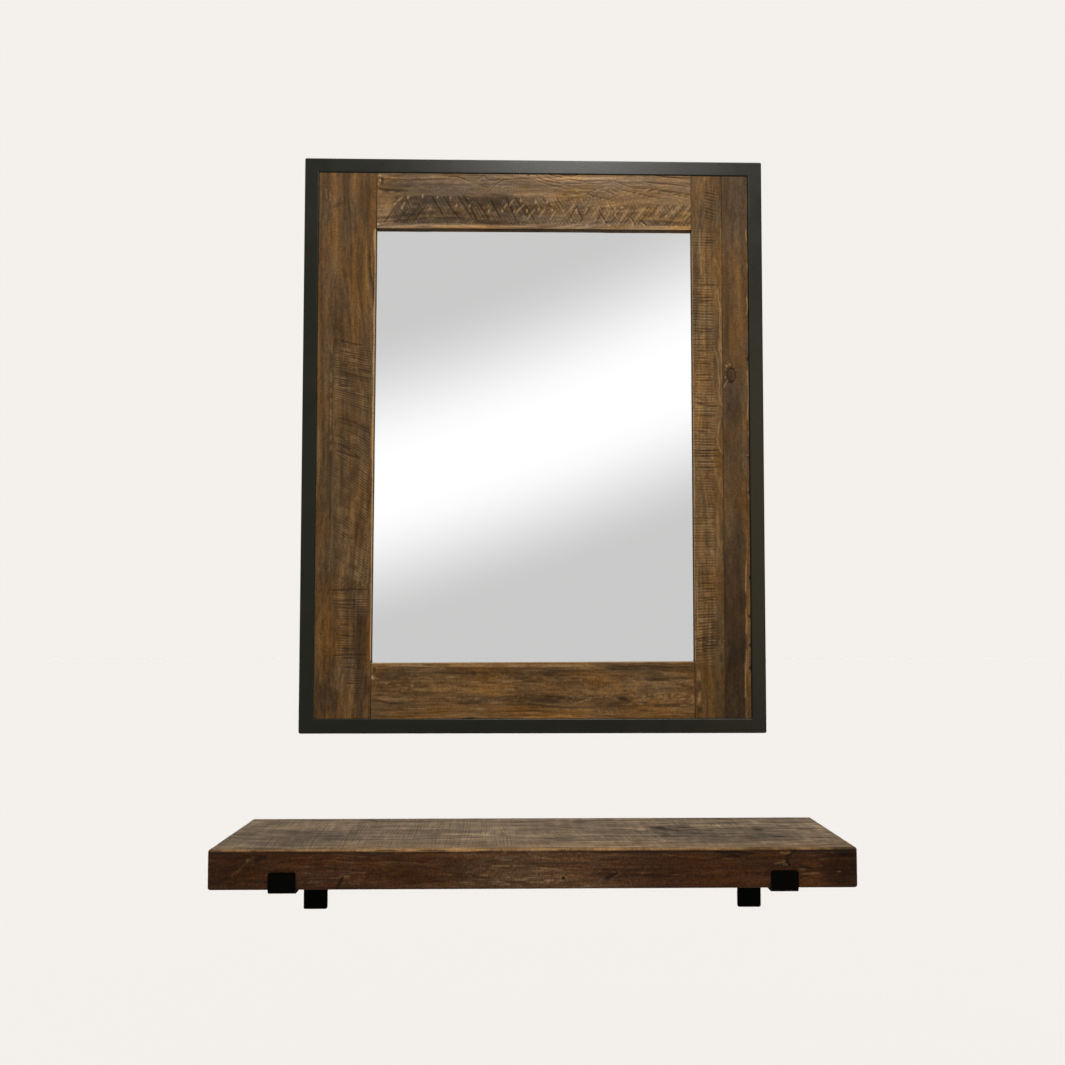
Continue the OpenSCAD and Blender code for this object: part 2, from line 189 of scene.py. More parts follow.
LEFT_CUTS = (
    (-335, 123, -282, 109), (-323, 173, -296, 170), (-337, 176, -320, 175), (-316, 148, -294, 143),
    (-334, 135, -310, 131), (-307, 128, -282, 123), (-338, 42, -282, 23), (-345, 13, -326, 5), (-343, -14, -302, -30),
    (-338, -3, -316, -14), (-337, 101, -323, 96), (-351, -254, -285, -253), (-345, -273, -304, -273),
    (-345, -279, -302, -279), (-343, -285, -304, -285), (-345, -368, -285, -365), (-332, -315, -315, -315),
    (-330, -333, -304, -334), (-326, -356, -304, -356), (-326, -372, -306, -371), (-325, -387, -307, -387),
    (-319, -414, -307, -414),
)
LEFT_BROAD_CUTS = (
    (-340, 120, -282, 106), (-338, 38, -282, 20), (-340, -12, -300, -29),
)
LEFT_LIGHT = (
    (-332, 164, -315, 160), (-321, 144, -309, 142), (-323, 134, -304, 129), (-346, 116, -323, 112),
    (-342, 96, -310, 95), (-331, 154, -316, 153), (-309, 86, -296, 82),
)
LEFT_SEAM = (
    ((-450, -349), (-300, -348.5), (-202, -349), (-120, -350), (-20, -350.5)),
)
LEFT_CRACKS = (
    ((-474, -356), (-420, -357)), ((-474, -338), (-425, -336)), ((-474, -330), (-440, -329)),
    ((-466, -362.5), (-428, -364)), ((-442, -289), (-404, -286)),
)
LEFT_PATCHES = (
    (-348, -446, 20, 42, -0.52), (-360.5, -315, 2.5, 14, -0.5), (-285, -423, 5.5, 22, -0.75),
    (-372, -320, 5, 40, 0.1), (-362, -290, 12, 110, -0.2), (-370, 10, 6, 60, 0.4), (-297, -350, 15, 110, -0.8),
    (-318, 30, 30, 150, -0.24), (-325, -330, 9, 14, -0.4), (-322, -357, 6, 9, -0.5), (-330, 210, 12, 60, -0.3),
    (-300, 300, 9, 90, -0.2), (-362, 320, 8, 150, 0.25), (-305, -448, 9, 16, 0.35), (-339, 335, 11, 140, 0.14),
    (-352, -40, 15, 160, -0.28), (-297, 80, 12, 60, 0.24), (-295, 425, 15, 62, -0.42), (-367, -400, 5, 40, -0.25),
)


def left_stile(r):
    x, z = r.x, r.z
    fibre = r.patchy(3.4, 70, 0.35, 0.7, seed=10)
    streaky = r.patchy(5, 190, 0.4, 0.7, seed=21) - r.patchy(6, 150, 0.55, 0.25, seed=22)
    r.cut(streaky, shade=0.26)
    tilt = np.radians(10 + 24 * fade(z, 150, -60) - 32 * fade(z, -235, -262))
    run = z * np.cos(tilt) + (x + 315) * np.sin(tilt)
    sawn_at = window(x, -346, -284, 5) * fade(z, 182, 150) * (1 - window(z, -262, -246, 5)) * fade(z, -440, -415)
    # lower down the marks keep to a narrower strip, which moves to the right near the end
    narrow = window(x - 12 * fade(z, -370, -400), -335, -303, 5)
    sawn_at = sawn_at * (1 - fade(z, -292, -306) * (1 - 0.8 * narrow))
    sawn_at = sawn_at * (0.6 + 0.5 * r.patchy(30, 20, 0.25, 0.7, seed=60))
    sawn = kerfs(run, x, pitch=4.2, seed=12, reach=0.95, waver=0.4)
    # the saw troughs dark with dirt and painted shade, and the crests between them pale as worn wood and painted
    # highlight
    r.cut(sawn * sawn_at, depth=0.5, dark=0.78)
    crests = (1 - sawn) ** 2 * sawn_at * (0.3 + 0.7 * fibre) * (0.3 + 0.7 * r.patchy(14, 9, 0.2, 0.8, seed=13))
    r.cut(crests * (1 - 0.5 * fade(z, -280, -300)), bare_and_highlight=0.44)
    r.strokes(LEFT_CUTS, 3.2, depth=0.6, dark=0.72, seed=14)
    r.strokes(LEFT_BROAD_CUTS, 6.0, depth=0.5, dark=0.45, seed=15)
    r.strokes(LEFT_LIGHT, 2.6, depth=0.1, bare_and_highlight=0.3, seed=16)
    r.cut(window(x, -352, -349.5, 0.8) * window(z, -20, 190, 40) * r.patchy(3, 9, 0.35, 0.7, seed=17), bare_and_highlight=0.3)
    r.veins(LEFT_SEAM, 2.4, dark=0.55, upright=True, seed=18)
    r.patches(LEFT_PATCHES, seed=23)
    r.veins(LEFT_CRACKS, 2.2, dark=0.5, upright=True, seed=24)
    for start, end in (((-363, 447), (-361, 428)), ((-358, 441), (-355, 424)), ((-351, 433), (-347, 421))):
        r.cut(stroke(x, z, start, end, 2.0, seed=int(start[1])), bare_and_highlight=0.3)
    r.cut(spot(x, z, (-345, 416), (14, 5), tilt=20, seed=27), shade=-0.4)
    # painted shade along the outer edge, beside the steel
    r.cut(fade(x, -372, -376), shade=-0.3)
    r.cut(fade(z, 475, -475), shade=-0.1)


INNER_CUTS = (
    (284, 279, 320, 279), (285, 257, 314, 258), (286, 251, 314, 252), (300, 229, 313, 229), (284, 201, 313, 202),
    (284, 196, 310, 196), (300, 358, 318, 359), (296, 353, 318, 355), (284, 162, 305, 163), (285, 151, 301, 151),
    (283, 141, 308, 141), (283, 121, 310, 120), (283, 112, 310, 111), (284, 78, 296, 77), (283, 69, 299, 68),
    (299, 66, 324, 66), (283, 50, 317, 50), (284, 20, 299, 20), (283, -14, 324, -11), (284, -22, 322, -22),
    (284, -31, 321, -31), (285, -40, 321, -41), (285, -227, 313, -226), (285, -244, 311, -243),
    (291, -254, 313, -253), (291, -270, 313, -271), (285, -312, 315, -309), (283, -339, 321, -340),
    (283, -343, 317, -342), (285, -350, 317, -350),
)
INNER_PALE = (
    ((302, 324), (309, 324), (320, 320), (328, 316)),
    ((167, 326), (182, 326), (198, 325), (216, 325), (229, 326), (243, 325), (253, 323), (264, 322), (276, 320)),
    ((29, 332), (40, 331), (47, 330), (58, 331), (65, 329), (72, 326), (83, 323), (94, 322), (105, 324), (115, 323),
     (130, 321), (144, 321), (157, 319), (168, 314)),
    ((117, 331), (130, 330), (142, 329), (153, 327), (166, 324), (184, 323)),
    ((-18, 329), (-11, 324), (-4, 321), (7, 319), (16, 320), (23, 321), (31, 322), (41, 324)),
    ((318, 331), (339, 330), (355, 329), (380, 328)), ((257, 331), (280, 331), (292, 329)),
    ((-85, 332), (-59, 331), (-32, 333)), ((-238, 329), (-226, 331), (-206, 330)),
    ((-473, 331), (-421, 330), (-369, 330)), ((298, 293), (325, 293), (352, 290), (380, 290)),
    ((-337, 283), (-282, 282), (-202, 282)),
)
INNER_PATCHES = (
    (323, -372, 5, 9, -0.5), (325, -395, 4, 8, -0.4), (286, -461, 6, 7, -0.7), (300, 340, 10, 30, 0.2),
    (303, 0, 24, 64, -0.22), (303, -165, 24, 64, 0.16), (302, -325, 24, 64, -0.4), (305, 436, 22, 34, 0.2),
)


def right_inner_board(r):
    x, z = r.x, r.z
    fibre = r.patchy(3.2, 60, 0.35, 0.7, seed=30)
    sawn_at = fade(x, 319, 309) * (0.5 + 0.55 * fade(wave(z, 34, seed=31), 0.25, 0.6))
    sawn_at = sawn_at * window(z, -380, 378, 10) * (1 - 0.7 * window(z, 300, 345, 12))
    run = z + (x - 300) * (0.02 - 0.12 * fade(z, -100, -300))
    sawn = kerfs(run, x, pitch=4.9, seed=32, reach=0.9, waver=0.5)
    # the saw troughs dark with dirt and painted shade, and the crests between them pale as worn wood and painted
    # highlight
    r.cut(sawn * sawn_at, depth=0.5, dark=0.6)
    crests = (1 - sawn) ** 2 * sawn_at * (0.25 + 0.75 * fibre)
    r.cut(crests * (0.3 + 0.7 * r.patchy(12, 6, 0.2, 0.7, seed=33)), bare_and_highlight=0.5)
    upper = window(x, 299, 319, 3) * window(z, 392, 452, 8)
    # more saw troughs near the top, dark with dirt and painted shade
    r.cut(kerfs(run + (x - 300) * 0.25, x, pitch=5.6, seed=34, reach=0.95, waver=0.4) * upper, depth=0.7, dark=0.75)
    r.cut(upper, shade=-0.15)
    r.strokes(INNER_CUTS, 2.8, depth=0.6, dark=0.7, seed=35)
    r.cut(spot(x, z, (289, 73), (8, 7), seed=36) + spot(x, z, (296, -12), (24, 7), tilt=8, seed=37), shade=-0.5)
    r.veins(INNER_PALE, 2.0, depth=0.1, bare_and_highlight=0.5, upright=True, seed=38)
    # the uneven outer edge, beyond which the face lies lower
    waney = 324 + 4.0 * wave(z, 50, seed=40) - 3.5 * window(z, 80, 190, 30) - 6 * window(z, -12, 20, 12)
    r.cut(fade(x, waney - 0.4, waney + 2.0), depth=0.8, shade=0.08)
    r.patches(INNER_PATCHES, seed=42)
    r.cut(spot(x, z, (329, -341.5), (5, 5), seed=43), depth=0.6, dark=0.5)
    r.cut(spot(x, z, (328.4, -341.5), (1.6, 1.8), seed=44), bare_and_highlight=1.0)
    r.cut(window(x, 281, 287, 2) * window(z, -450, -395, 12) * r.patchy(4, 14, 0.3, 0.7, seed=45), bare_and_highlight=0.5)
    r.cut(fade(z, 100, -420), shade=-0.56)
    r.cut(r.patchy(18, 60, 0.6, 0.3, seed=46) * fade(z, 150, 300), shade=-0.2)
    r.cut(r.patchy(4, 110, 0.5, 0.75, seed=47), shade=0.22)


OUTER_PALE = (
    ((43, 372), (58, 372), (83, 374), (99, 374), (115, 373), (130, 372)), ((16, 373), (23, 373)),
    ((-97, 373), (-76, 372)), ((-258, 366), (-232, 367), (-202, 368)), ((-329, 367), (-286, 367)),
    ((-439, 364), (-417, 364), (-393, 365), (-357, 366)), ((359, 373), (380, 372)), ((303, 375), (320, 374)),
    ((228, 372), (242, 374), (260, 372)),
)
OUTER_PATCHES = (
    (356, 330, 9, 90, 0.4), (352, 190, 14, 60, 0.3), (340, 440, 9, 60, -0.2), (337, 300, 6, 90, -0.35),
    (338, 210, 6, 55, -0.5), (350, 52, 18, 34, -0.45), (338, -5, 8, 30, -0.35), (362, -60, 12, 70, 0.25),
    (369, -45, 5, 20, 0.2), (344, -380, 14, 50, -0.2), (352, -165, 18, 64, -0.45), (362, -276, 10, 32, -0.5),
    (362, -356, 9, 28, -0.3),
)


def right_outer_board(r):
    x, z = r.x, r.z
    # the knot, with the grain pushed aside round it
    lump = np.hypot((x - 344.2) / 7.6, (z - 121.4) / (12.6 + 2 * fade(z, 121, 105)))
    r.cut(fade(lump, 1.15, 0.95), depth=0.3, shade=-0.25)
    r.cut(window(lump, 0.78, 1.05, 0.1), depth=0.7, dark=0.9)
    r.cut(spot(x, z, (344.2, 122), (2.2, 7), ragged=0.6, seed=51), dark=0.6)
    r.push = r.push + fade(lump, 2.6, 0.6) * 12 * np.sign(x - 344)
    for place, size in (((336, 137.5), (3, 2.6)), ((341.5, 139.5), (2.4, 2.2)), ((334, 131), (2, 3)),
                        ((334, 117), (1.5, 3)), ((371.6, -20), (2.2, 2)), ((372.5, 20), (1.2, 2))):
        r.cut(spot(x, z, place, size, seed=52), depth=0.4, bare_and_highlight=0.6)
    r.cut(spot(x, z, (334, 128), (3.5, 5), seed=53), depth=0.4, dark=0.6)
    r.strokes(((339, 113, 329, 97), (336, 108, 331, 99)), 1.8, depth=0.3, bare_and_highlight=0.4, seed=54)
    # the worn line, beyond which the board lies lower
    edge = 374.5 - 8.5 * fade(z, 0, -240) - 2 * fade(z, -330, -430) - 1.6 * (wave(z, 26, seed=55) - 0.5)
    step = fade(x, edge - 0.5, edge + 1.0)
    r.cut(step, depth=1.0, shade=0.08)
    r.veins(OUTER_PALE, 2.2, depth=0.1, bare_and_highlight=0.55, upright=True, seed=56)
    for height, tall in ((-23, 4), (-300, 5), (-350, 6), (-388, 6), (-232, 5), (-85, 4), (150, 7)):
        r.cut(spot(x, z, (374.5, height), (5, tall), ragged=0.6, seed=57 + tall), depth=0.9, dark=0.7)
    r.cut(fade(z, -120, -290) * (1 - step), shade=-0.95)
    r.patches(OUTER_PATCHES, seed=59)
    r.cut(r.patchy(4, 120, 0.5, 0.8, seed=64), shade=0.22)
    r.cut(fade(z, -200, -80), shade=-0.17)


TOP_BACKSLASHES = (
    (-178, 433, -161, 400), (-158, 435, -131, 392), (-134, 436, -107, 393), (-125, 436, -101, 393),
    (-103, 429, -79, 392), (-79, 431, -60, 394), (-51, 436, -30, 392), (-32, 433, -11, 397), (-17, 423, 2, 392),
    (13, 436, 30, 414), (36, 435, 51, 417), (73, 421, 86, 395), (114, 410, 129, 389), (139, 406, 152, 389),
    (165, 404, 178, 387), (187, 395, 197, 385),
)
TOP_SLASHES = (
    (-261, 385, -242, 415), (-244, 384, -220, 413), (-229, 385, -199, 420), (-212, 391, -191, 415),
    (56, 390, 77, 421), (79, 390, 101, 421), (107, 388, 120, 408), (133, 389, 154, 415), (157, 389, 178, 415),
    (182, 387, 206, 417), (200, 400, 219, 422), (221, 396, 243, 422), (238, 389, 264, 420), (264, 391, 275, 407),
)
TOP_RIDGES = (
    (-45, 418, -36, 431), (-32, 405, -17, 423), (-13, 394, 2, 414), (8, 399, 19, 414), (26, 395, 38, 412),
    (-54, 414, -47, 423), (-244, 419, -229, 434), (-233, 411, -225, 422), (58, 406, 72, 423), (88, 404, 94, 417),
    (100, 397, 116, 421), (120, 386, 133, 410), (144, 384, 168, 419), (174, 391, 197, 422), (212, 406, 228, 422),
    (235, 400, 255, 424), (243, 404, 259, 426), (260, 402, 277, 429), (264, 396, 277, 411), (165, 400, 176, 389),
    (139, 405, 149, 394), (71, 414, 77, 404), (187, 391, 195, 383),
)
TOP_SPECKS = (
    (-35, 408), (-13, 410), (8, 413), (31, 411), (-56, 409), (-79, 409), (-113, 418), (-136, 418), (-182, 412),
    (-228, 420), (-230, 413), (-244, 419), (-195, 434), (-220, 432), (-23, 428), (3, 426), (23, 426), (-169, 433),
    (-146, 432), (51, 410), (74, 412), (142, 404), (123, 406), (172, 386), (217, 417), (232, 402),
)
TOP_GLINTS = (
    (75, 445), (129, 420), (154, 417), (142, 416), (92, 385), (131, 385), (249, 385),
)
TOP_RINGS = (
    ((-150, 469), (-135, 470), (-122, 465), (-113, 461)), ((-98, 466), (-88, 472), (-81, 464), (-73, 462)),
    ((-79, 443), (-71, 453), (-58, 463), (-45, 466), (-17, 467), (0, 465), (15, 460), (32, 455), (49, 452)),
    ((-79, 465), (-69, 464), (-60, 466)), ((2, 475), (11, 467), (21, 463), (36, 461), (49, 459)),
    ((8, 478), (21, 470), (36, 465), (49, 464)), ((19, 478), (32, 473), (49, 470)),
    ((-211, 463), (-203, 463), (-193, 462)), ((-272, 445), (-253, 444), (-235, 441)),
    ((49, 474), (66, 472), (84, 477), (105, 479)),
    ((49, 465), (62, 467), (88, 463), (114, 465), (142, 464), (157, 458), (169, 454), (187, 451), (206, 448),
     (232, 446), (253, 440), (275, 435)), ((49, 458), (71, 459), (92, 460), (114, 459), (135, 462)),
    ((49, 450), (75, 451), (96, 450), (118, 452), (135, 450), (144, 445)),
    ((146, 451), (169, 445), (189, 441), (204, 436), (221, 435)),
    ((182, 452), (204, 451), (230, 447), (249, 445), (275, 441)),
    ((49, 439), (75, 442), (92, 443), (103, 437), (120, 434), (139, 429)),
    ((204, 478), (221, 474), (243, 472), (277, 470)), ((189, 465), (208, 461), (232, 460), (275, 455)),
    ((225, 472), (251, 471), (277, 466)), ((99, 446), (111, 449), (124, 448), (135, 443), (142, 440)),
)
TOP_PATCHES = (
    (-245, 444, 34, 4, -0.7), (-215, 452, 14, 3, -0.3), (-226, 470, 46, 5, -0.3), (-11, 473.5, 3.5, 2, -1.3),
    (-133, 468.8, 2.2, 1.5, -1.8), (20, 430, 60, 8, 0.2), (247, 412, 7, 10, -0.8), (237, 402, 24, 5, -0.5),
    (70, 392, 24, 6, -0.4), (228, 447, 12, 1.6, -0.7), (-252, 410, 12, 16, 0.2), (-85, 455, 12, 5, -0.3),
    (-190, 450, 95, 22, -0.35), (70, 468, 140, 9, 0.32), (130, 424, 76, 8, 0.35), (226, 389, 52, 7, -0.55),
)


def top_rail(r):
    x, z = r.x, r.z
    # the herringbone band of crossing saw marks
    upper_end = 433 + 2 * wave(x, 40, seed=71) - 8 * fade(x, 90, 200)
    band = window(z, 385, upper_end, 2.0) * window(x, -246, 278, 9)
    left = fade(x, 60, -60)
    r.cut(band * (0.75 + 0.25 * cloud(x, z, 22, 16, seed=72)), shade=0.06 - 1.24 * left)
    hatch = kerfs(x + (z - 410) * 0.55, z, pitch=6.2, seed=73, reach=0.9, waver=0.4)
    cross = kerfs(x - (z - 410) * 0.75, z, pitch=6.6, seed=75, reach=0.9, waver=0.4)
    lattice = np.maximum(hatch * (0.5 + 0.5 * r.patchy(18, 13, 0.25, 0.55, seed=74)),
                         cross * (0.5 + 0.5 * r.patchy(17, 14, 0.3, 0.6, seed=76)))
    # the troughs dark with dirt and painted shade, and the crests between them pale as worn wood and painted
    # highlight
    r.cut(lattice * band, depth=0.6, dark=0.5)
    r.cut((1 - lattice) ** 2 * band * r.patchy(6, 5, 0.4, 0.75, seed=77), bare_and_highlight=0.24 + 0.16 * (1 - left))
    r.strokes(TOP_BACKSLASHES, 3.7, depth=1.0, dark=0.72, seed=78)
    r.strokes(TOP_SLASHES, 3.5, depth=0.9, dark=0.66, seed=79)
    r.strokes(TOP_RIDGES, 2.3, depth=0.1, bare_and_highlight=0.66, seed=80)
    for k, place in enumerate(TOP_SPECKS):
        r.cut(spot(x, z, place, (2.2, 3.6), tilt=-25, ragged=0.6, seed=81 + k), bare_and_highlight=0.7)
    for k, place in enumerate(TOP_GLINTS):
        r.cut(spot(x, z, place, (3.6, 1.5), tilt=10, ragged=0.5, seed=101 + k), bare_and_highlight=1.0)
    r.cut(fade(z, 440, 434) * window(x, -182, 120, 12), depth=0.5)
    r.cut(window(z, 432.5, 436, 1.2) * window(x, -100, 104, 12) * cloud(x, z, 16, 4, seed=82), dark=0.6)
    r.cut(window(z, 380.5, 383, 0.8) * window(x, -180, 5, 10) * r.patchy(40, 6, 0.2, 0.5, seed=83), bare_and_highlight=0.6)
    r.veins(TOP_RINGS, 1.9, depth=0.5, dark=0.66, lit=0.35, seed=84)
    r.cut((1 - band) * fade(x, -100, 120), shade=0.18)
    r.cut(r.patchy(60, 3.5, 0.45, 0.75, seed=85) * (1 - band), shade=0.22)
    r.cut(r.patchy(50, 3, 0.5, 0.2, seed=86) * (1 - band), shade=-0.22)
    r.patches(TOP_PATCHES, seed=87)
    for place, size in (((-269, 471), (3.4, 1.6)), ((-269, 462), (2.6, 2.4)), ((-272, 455.5), (1.5, 2)),
                        ((-272, 384), (3, 2.6))):
        r.cut(spot(x, z, place, size, seed=int(place[1])), depth=0.6, bare_and_highlight=1.0)
    r.cut(spot(x, z, (-266, 461), (3.5, 9), seed=88), depth=0.8, dark=0.7)
    r.cut(spot(x, z, (-268, 446), (6, 3), seed=89), dark=0.75)


BOTTOM_CUTS = (
    (-256, -387, -170, -389), (-170, -397, -69, -398), (-34, -398, -16, -399), (-279, -443, -243, -448),
    (-248, -449, -221, -449), (-155, -445, -133, -446), (-129, -450, -104, -450), (-234, -459, -223, -459),
    (-47, -453, -30, -453), (-10, -449, 17, -454), (12, -454, 48, -454), (8, -438, 48, -437), (-5, -445, 48, -443),
    (141, -386, 273, -388), (13, -401, 53, -402), (60, -406, 77, -406), (190, -408, 234, -406),
    (194, -411, 232, -411), (234, -406, 278, -407), (115, -437, 126, -440), (13, -437, 73, -442),
    (13, -455, 57, -456), (207, -455, 251, -454), (168, -466, 205, -464), (245, -416, 278, -423),
    (243, -441, 278, -435),
)
BOTTOM_LIGHT = (
    (-263, -413, -245, -412), (-208, -405, -184, -405), (-155, -404, -133, -403), (-109, -413, -76, -411),
    (-98, -417, -54, -416), (-76, -410, -34, -413), (-54, -410, -18, -411), (-208, -425, -181, -424),
    (-173, -418, -155, -418), (-259, -436, -239, -435), (-261, -441, -221, -441), (-190, -449, -168, -448),
    (-89, -447, -52, -448), (-234, -423, -212, -422), (-69, -423, -32, -425), (13, -385, 97, -388),
    (82, -428, 101, -431), (165, -434, 181, -436), (212, -414, 234, -412), (236, -411, 276, -410),
    (245, -438, 258, -434), (258, -434, 278, -438), (207, -440, 221, -438), (165, -449, 172, -450),
    (212, -449, 243, -447),
)
BOTTOM_RASP = (
    (110, -430, 146, -408), (119, -431, 137, -420), (128, -427, 142, -408), (137, -430, 154, -412),
    (159, -427, 181, -410), (168, -430, 183, -416), (46, -414, 68, -430), (57, -414, 75, -428), (77, -416, 93, -434),
    (87, -414, 101, -434), (108, -454, 117, -469), (119, -452, 128, -467), (128, -456, 137, -469),
    (141, -452, 146, -467),
)
BOTTOM_CRACKS = (
    ((-280, -443.5), (-262, -445), (-243, -448.5), (-221, -449)), ((244, -417), (262, -420), (278, -423)),
)
BOTTOM_PATCHES = (
    (-200, -425, 90, 40, 0.16), (5, -425, 70, 40, -0.24), (215, -425, 70, 40, 0.22), (45, -394, 50, 11, -0.5),
    (145, -458, 62, 13, -0.3), (-60, -450, 32, 12, 0.25),
)
BOTTOM_KNOCKS = (
    (-103, -397, 6, 5, 0, 0.7), (155, -443, 17, 5.5, -12, 0.85), (146, -449, 10, 3.5, 5, 0.6),
    (157, -427, 7, 2.4, 0, 0.7), (40, -440, 34, 4.5, 2, 0.5), (22, -446, 30, 4, -3, 0.55), (186, -464, 20, 5, 8, 0.4),
    (222, -454, 24, 3, 2, 0.5), (130, -456, 24, 9, 0, 0.3), (-150, -445, 9, 2.4, -4, 0.5),
    (-116, -450, 12, 2.4, 0, 0.6), (-240, -448, 6, 2.5, 0, 0.6), (211, -409, 22, 3.4, 2, 0.5),
    (270, -424, 7, 2.5, 0, 0.6),
)


def bottom_rail(r):
    x, z = r.x, r.z
    r.cut(r.patchy(90, 3.5, 0.45, 0.75, seed=101), shade=0.24)
    r.cut(r.patchy(70, 3, 0.5, 0.22, seed=102), shade=-0.22)
    r.cut(r.patchy(9, 1.8, 0.6, 0.85, seed=103) * fade(z, -395, -405) * fade(z, -455, -440), bare_and_highlight=0.3)
    r.strokes(BOTTOM_CUTS, 2.8, depth=0.5, dark=0.6, seed=104)
    r.strokes(BOTTOM_LIGHT, 1.8, depth=0.1, bare_and_highlight=0.34, seed=105)
    r.cut(r.patchy(48, 2.2, 0.55, 0.85, seed=151), bare_and_highlight=0.2)
    r.cut(r.patchy(52, 2.2, 0.62, 0.85, seed=152), dark=0.38)
    r.patches(BOTTOM_PATCHES, seed=153)
    r.strokes(BOTTOM_RASP, 1.6, depth=0.1, bare_and_highlight=0.26, seed=106)
    crumbled = spot(x, z, (215, -443), (100, 20), ragged=0.3, seed=107) + spot(x, z, (75, -440), (55, 12), seed=108)
    r.cut(fade(cloud(x + z * 0.8, z, 7, 2.6, seed=109, octaves=1), 0.62, 0.85) * crumbled, depth=0.5, dark=0.6)
    r.cut(fade(cloud(x - z * 0.5, z, 6, 2.2, seed=111, octaves=1), 0.66, 0.88) * crumbled, depth=0.1, bare_and_highlight=0.42)
    for lean, place, size, seed in ((0.75, (150, -419), (38, 13), 126), (-0.8, (72, -424), (34, 11), 127),
                                    (-0.6, (128, -461), (24, 9), 128)):
        area = spot(x, z, place, size, ragged=0.5, seed=seed)
        rasped = kerfs(x - (z + 420) * lean, z, pitch=4.4, seed=seed, reach=0.9, waver=0.4) * area
        # the troughs dark with dirt and painted shade, and the crests between them pale as worn wood and painted
        # highlight
        r.cut(rasped, depth=0.4, dark=0.45)
        r.cut((1 - rasped) ** 3 * area, bare_and_highlight=0.16)
    for px, pz, wide, tall, tilt, deep in BOTTOM_KNOCKS:
        knock = spot(x, z, (px, pz), (wide, tall), tilt=tilt, ragged=0.6, seed=int(px) + 700)
        r.cut(knock, depth=deep * 0.6, dark=deep)
    r.cut(window(z, -400, -386, 3) * window(x, -255, -20, 20) * cloud(x, z, 60, 8, seed=146), shade=-0.4)
    r.cut(window(z, -394, -384, 3) * window(x, 125, 280, 16), shade=-0.45)
    r.cut(window(z, -386.5, -382, 0.8) * fade(x, 110, 60) * r.patchy(26, 4, 0.25, 0.5, seed=147), bare_and_highlight=0.5)
    r.cut(spot(x, z, (-272, -392), (4, 9), ragged=0.5, seed=148), depth=1.0, dark=0.8)
    r.cut(spot(x, z, (-275, -404.5), (5, 4), ragged=0.5, seed=149), depth=0.3, bare_and_highlight=0.9)
    r.veins(BOTTOM_CRACKS, 2.2, depth=0.5, dark=0.7, seed=150)
    r.cut(spot(x, z, (-112, -476), (24, 4), seed=110), depth=1.0, dark=0.8)
    r.cut(fade(z, -458, -468), shade=0.12)




SHELF_PALE = (
    (-304, 88, -245, 84), (-314, 79, -292, 79), (-296, 77, -282, 79), (-314, 71, -284, 70), (-288, 64, -280, 62),
    (-278, 69, -265, 68), (-247, 77, -174, 75), (-334, 84, -327, 87), (-450, 55, -414, 85), (-439, 62, -430, 68),
    (-263, 57, -247, 56), (-64, 71, -36, 71), (-36, 71, -10, 69), (-2, 68, 22, 67), (25, 67, 84, 64),
    (24, 82, 32, 82), (44, 82, 50, 81), (6, 75, 17, 77), (8, 64, 18, 65), (64, 72, 78, 79), (10, 87, 20, 89),
    (48, 87, 53, 89), (-69, 61, -63, 62), (-52, 62, -46, 64), (-80, 42, -73, 44), (-27, 42, -19, 43),
    (-113, 46, -98, 47), (108, 45, 125, 58), (78, 74, 90, 76), (31, 76, 42, 77), (189, 87, 229, 82),
    (229, 82, 272, 80), (276, 80, 310, 78), (389, 68, 412, 68), (408, 67, 431, 68), (397, 51, 414, 52),
    (427, 77, 438, 79), (406, 82, 421, 83), (440, 86, 448, 88), (157, 59, 183, 60), (200, 56, 227, 55),
)
SHELF_BRIGHT = (
    (-64, 70, -36, 70), (-36, 70, -10, 69), (-2, 68, 22, 67),
)
SHELF_GOLDEN = (
    (-426, 78, -421, 82), (371, 87, 384, 89), (357, 72, 375, 74), (370, 70, 379, 69), (395, 62, 404, 63),
    (397, 56, 425, 58), (366, 88, 372, 88), (451, 60, 457, 61),
)
SHELF_CUTS = (
    (-295, 38, -283, 56), (105, 50, 122, 59), (391, 91, 382, 85), (383, 85, 376, 79), (376, 79, 379, 74),
    (378, 74, 376, 71), (376, 71, 381, 66), (394, 65, 415, 65), (268, 87, 327, 88), (285, 83, 306, 83),
    (-402, 83, -397, 87), (-414, 76, -402, 85), (40, 50, 45, 53),
)
SHELF_FRONT_PATCHES = (
    (300, 86, 28, 5, -0.8), (-100, 63, 46, 22, -0.2), (-375, 63, 44, 24, 0.3), (412, 83, 30, 5, 0.2),
    (-455, 63, 14, 30, -0.1), (120, 59, 36, 16, -0.2), (-300, 71, 24, 16, 0.15), (42, 52, 6, 4, 0.6),
    (379, 87, 14, 4, 0.6), (369, 76, 14, 4, 0.5), (420, 55, 18, 4, 0.6), (410, 70, 24, 5, 0.4),
    (455, 46, 24, 7, -0.4), (466, 88, 16, 8, -0.6),
)


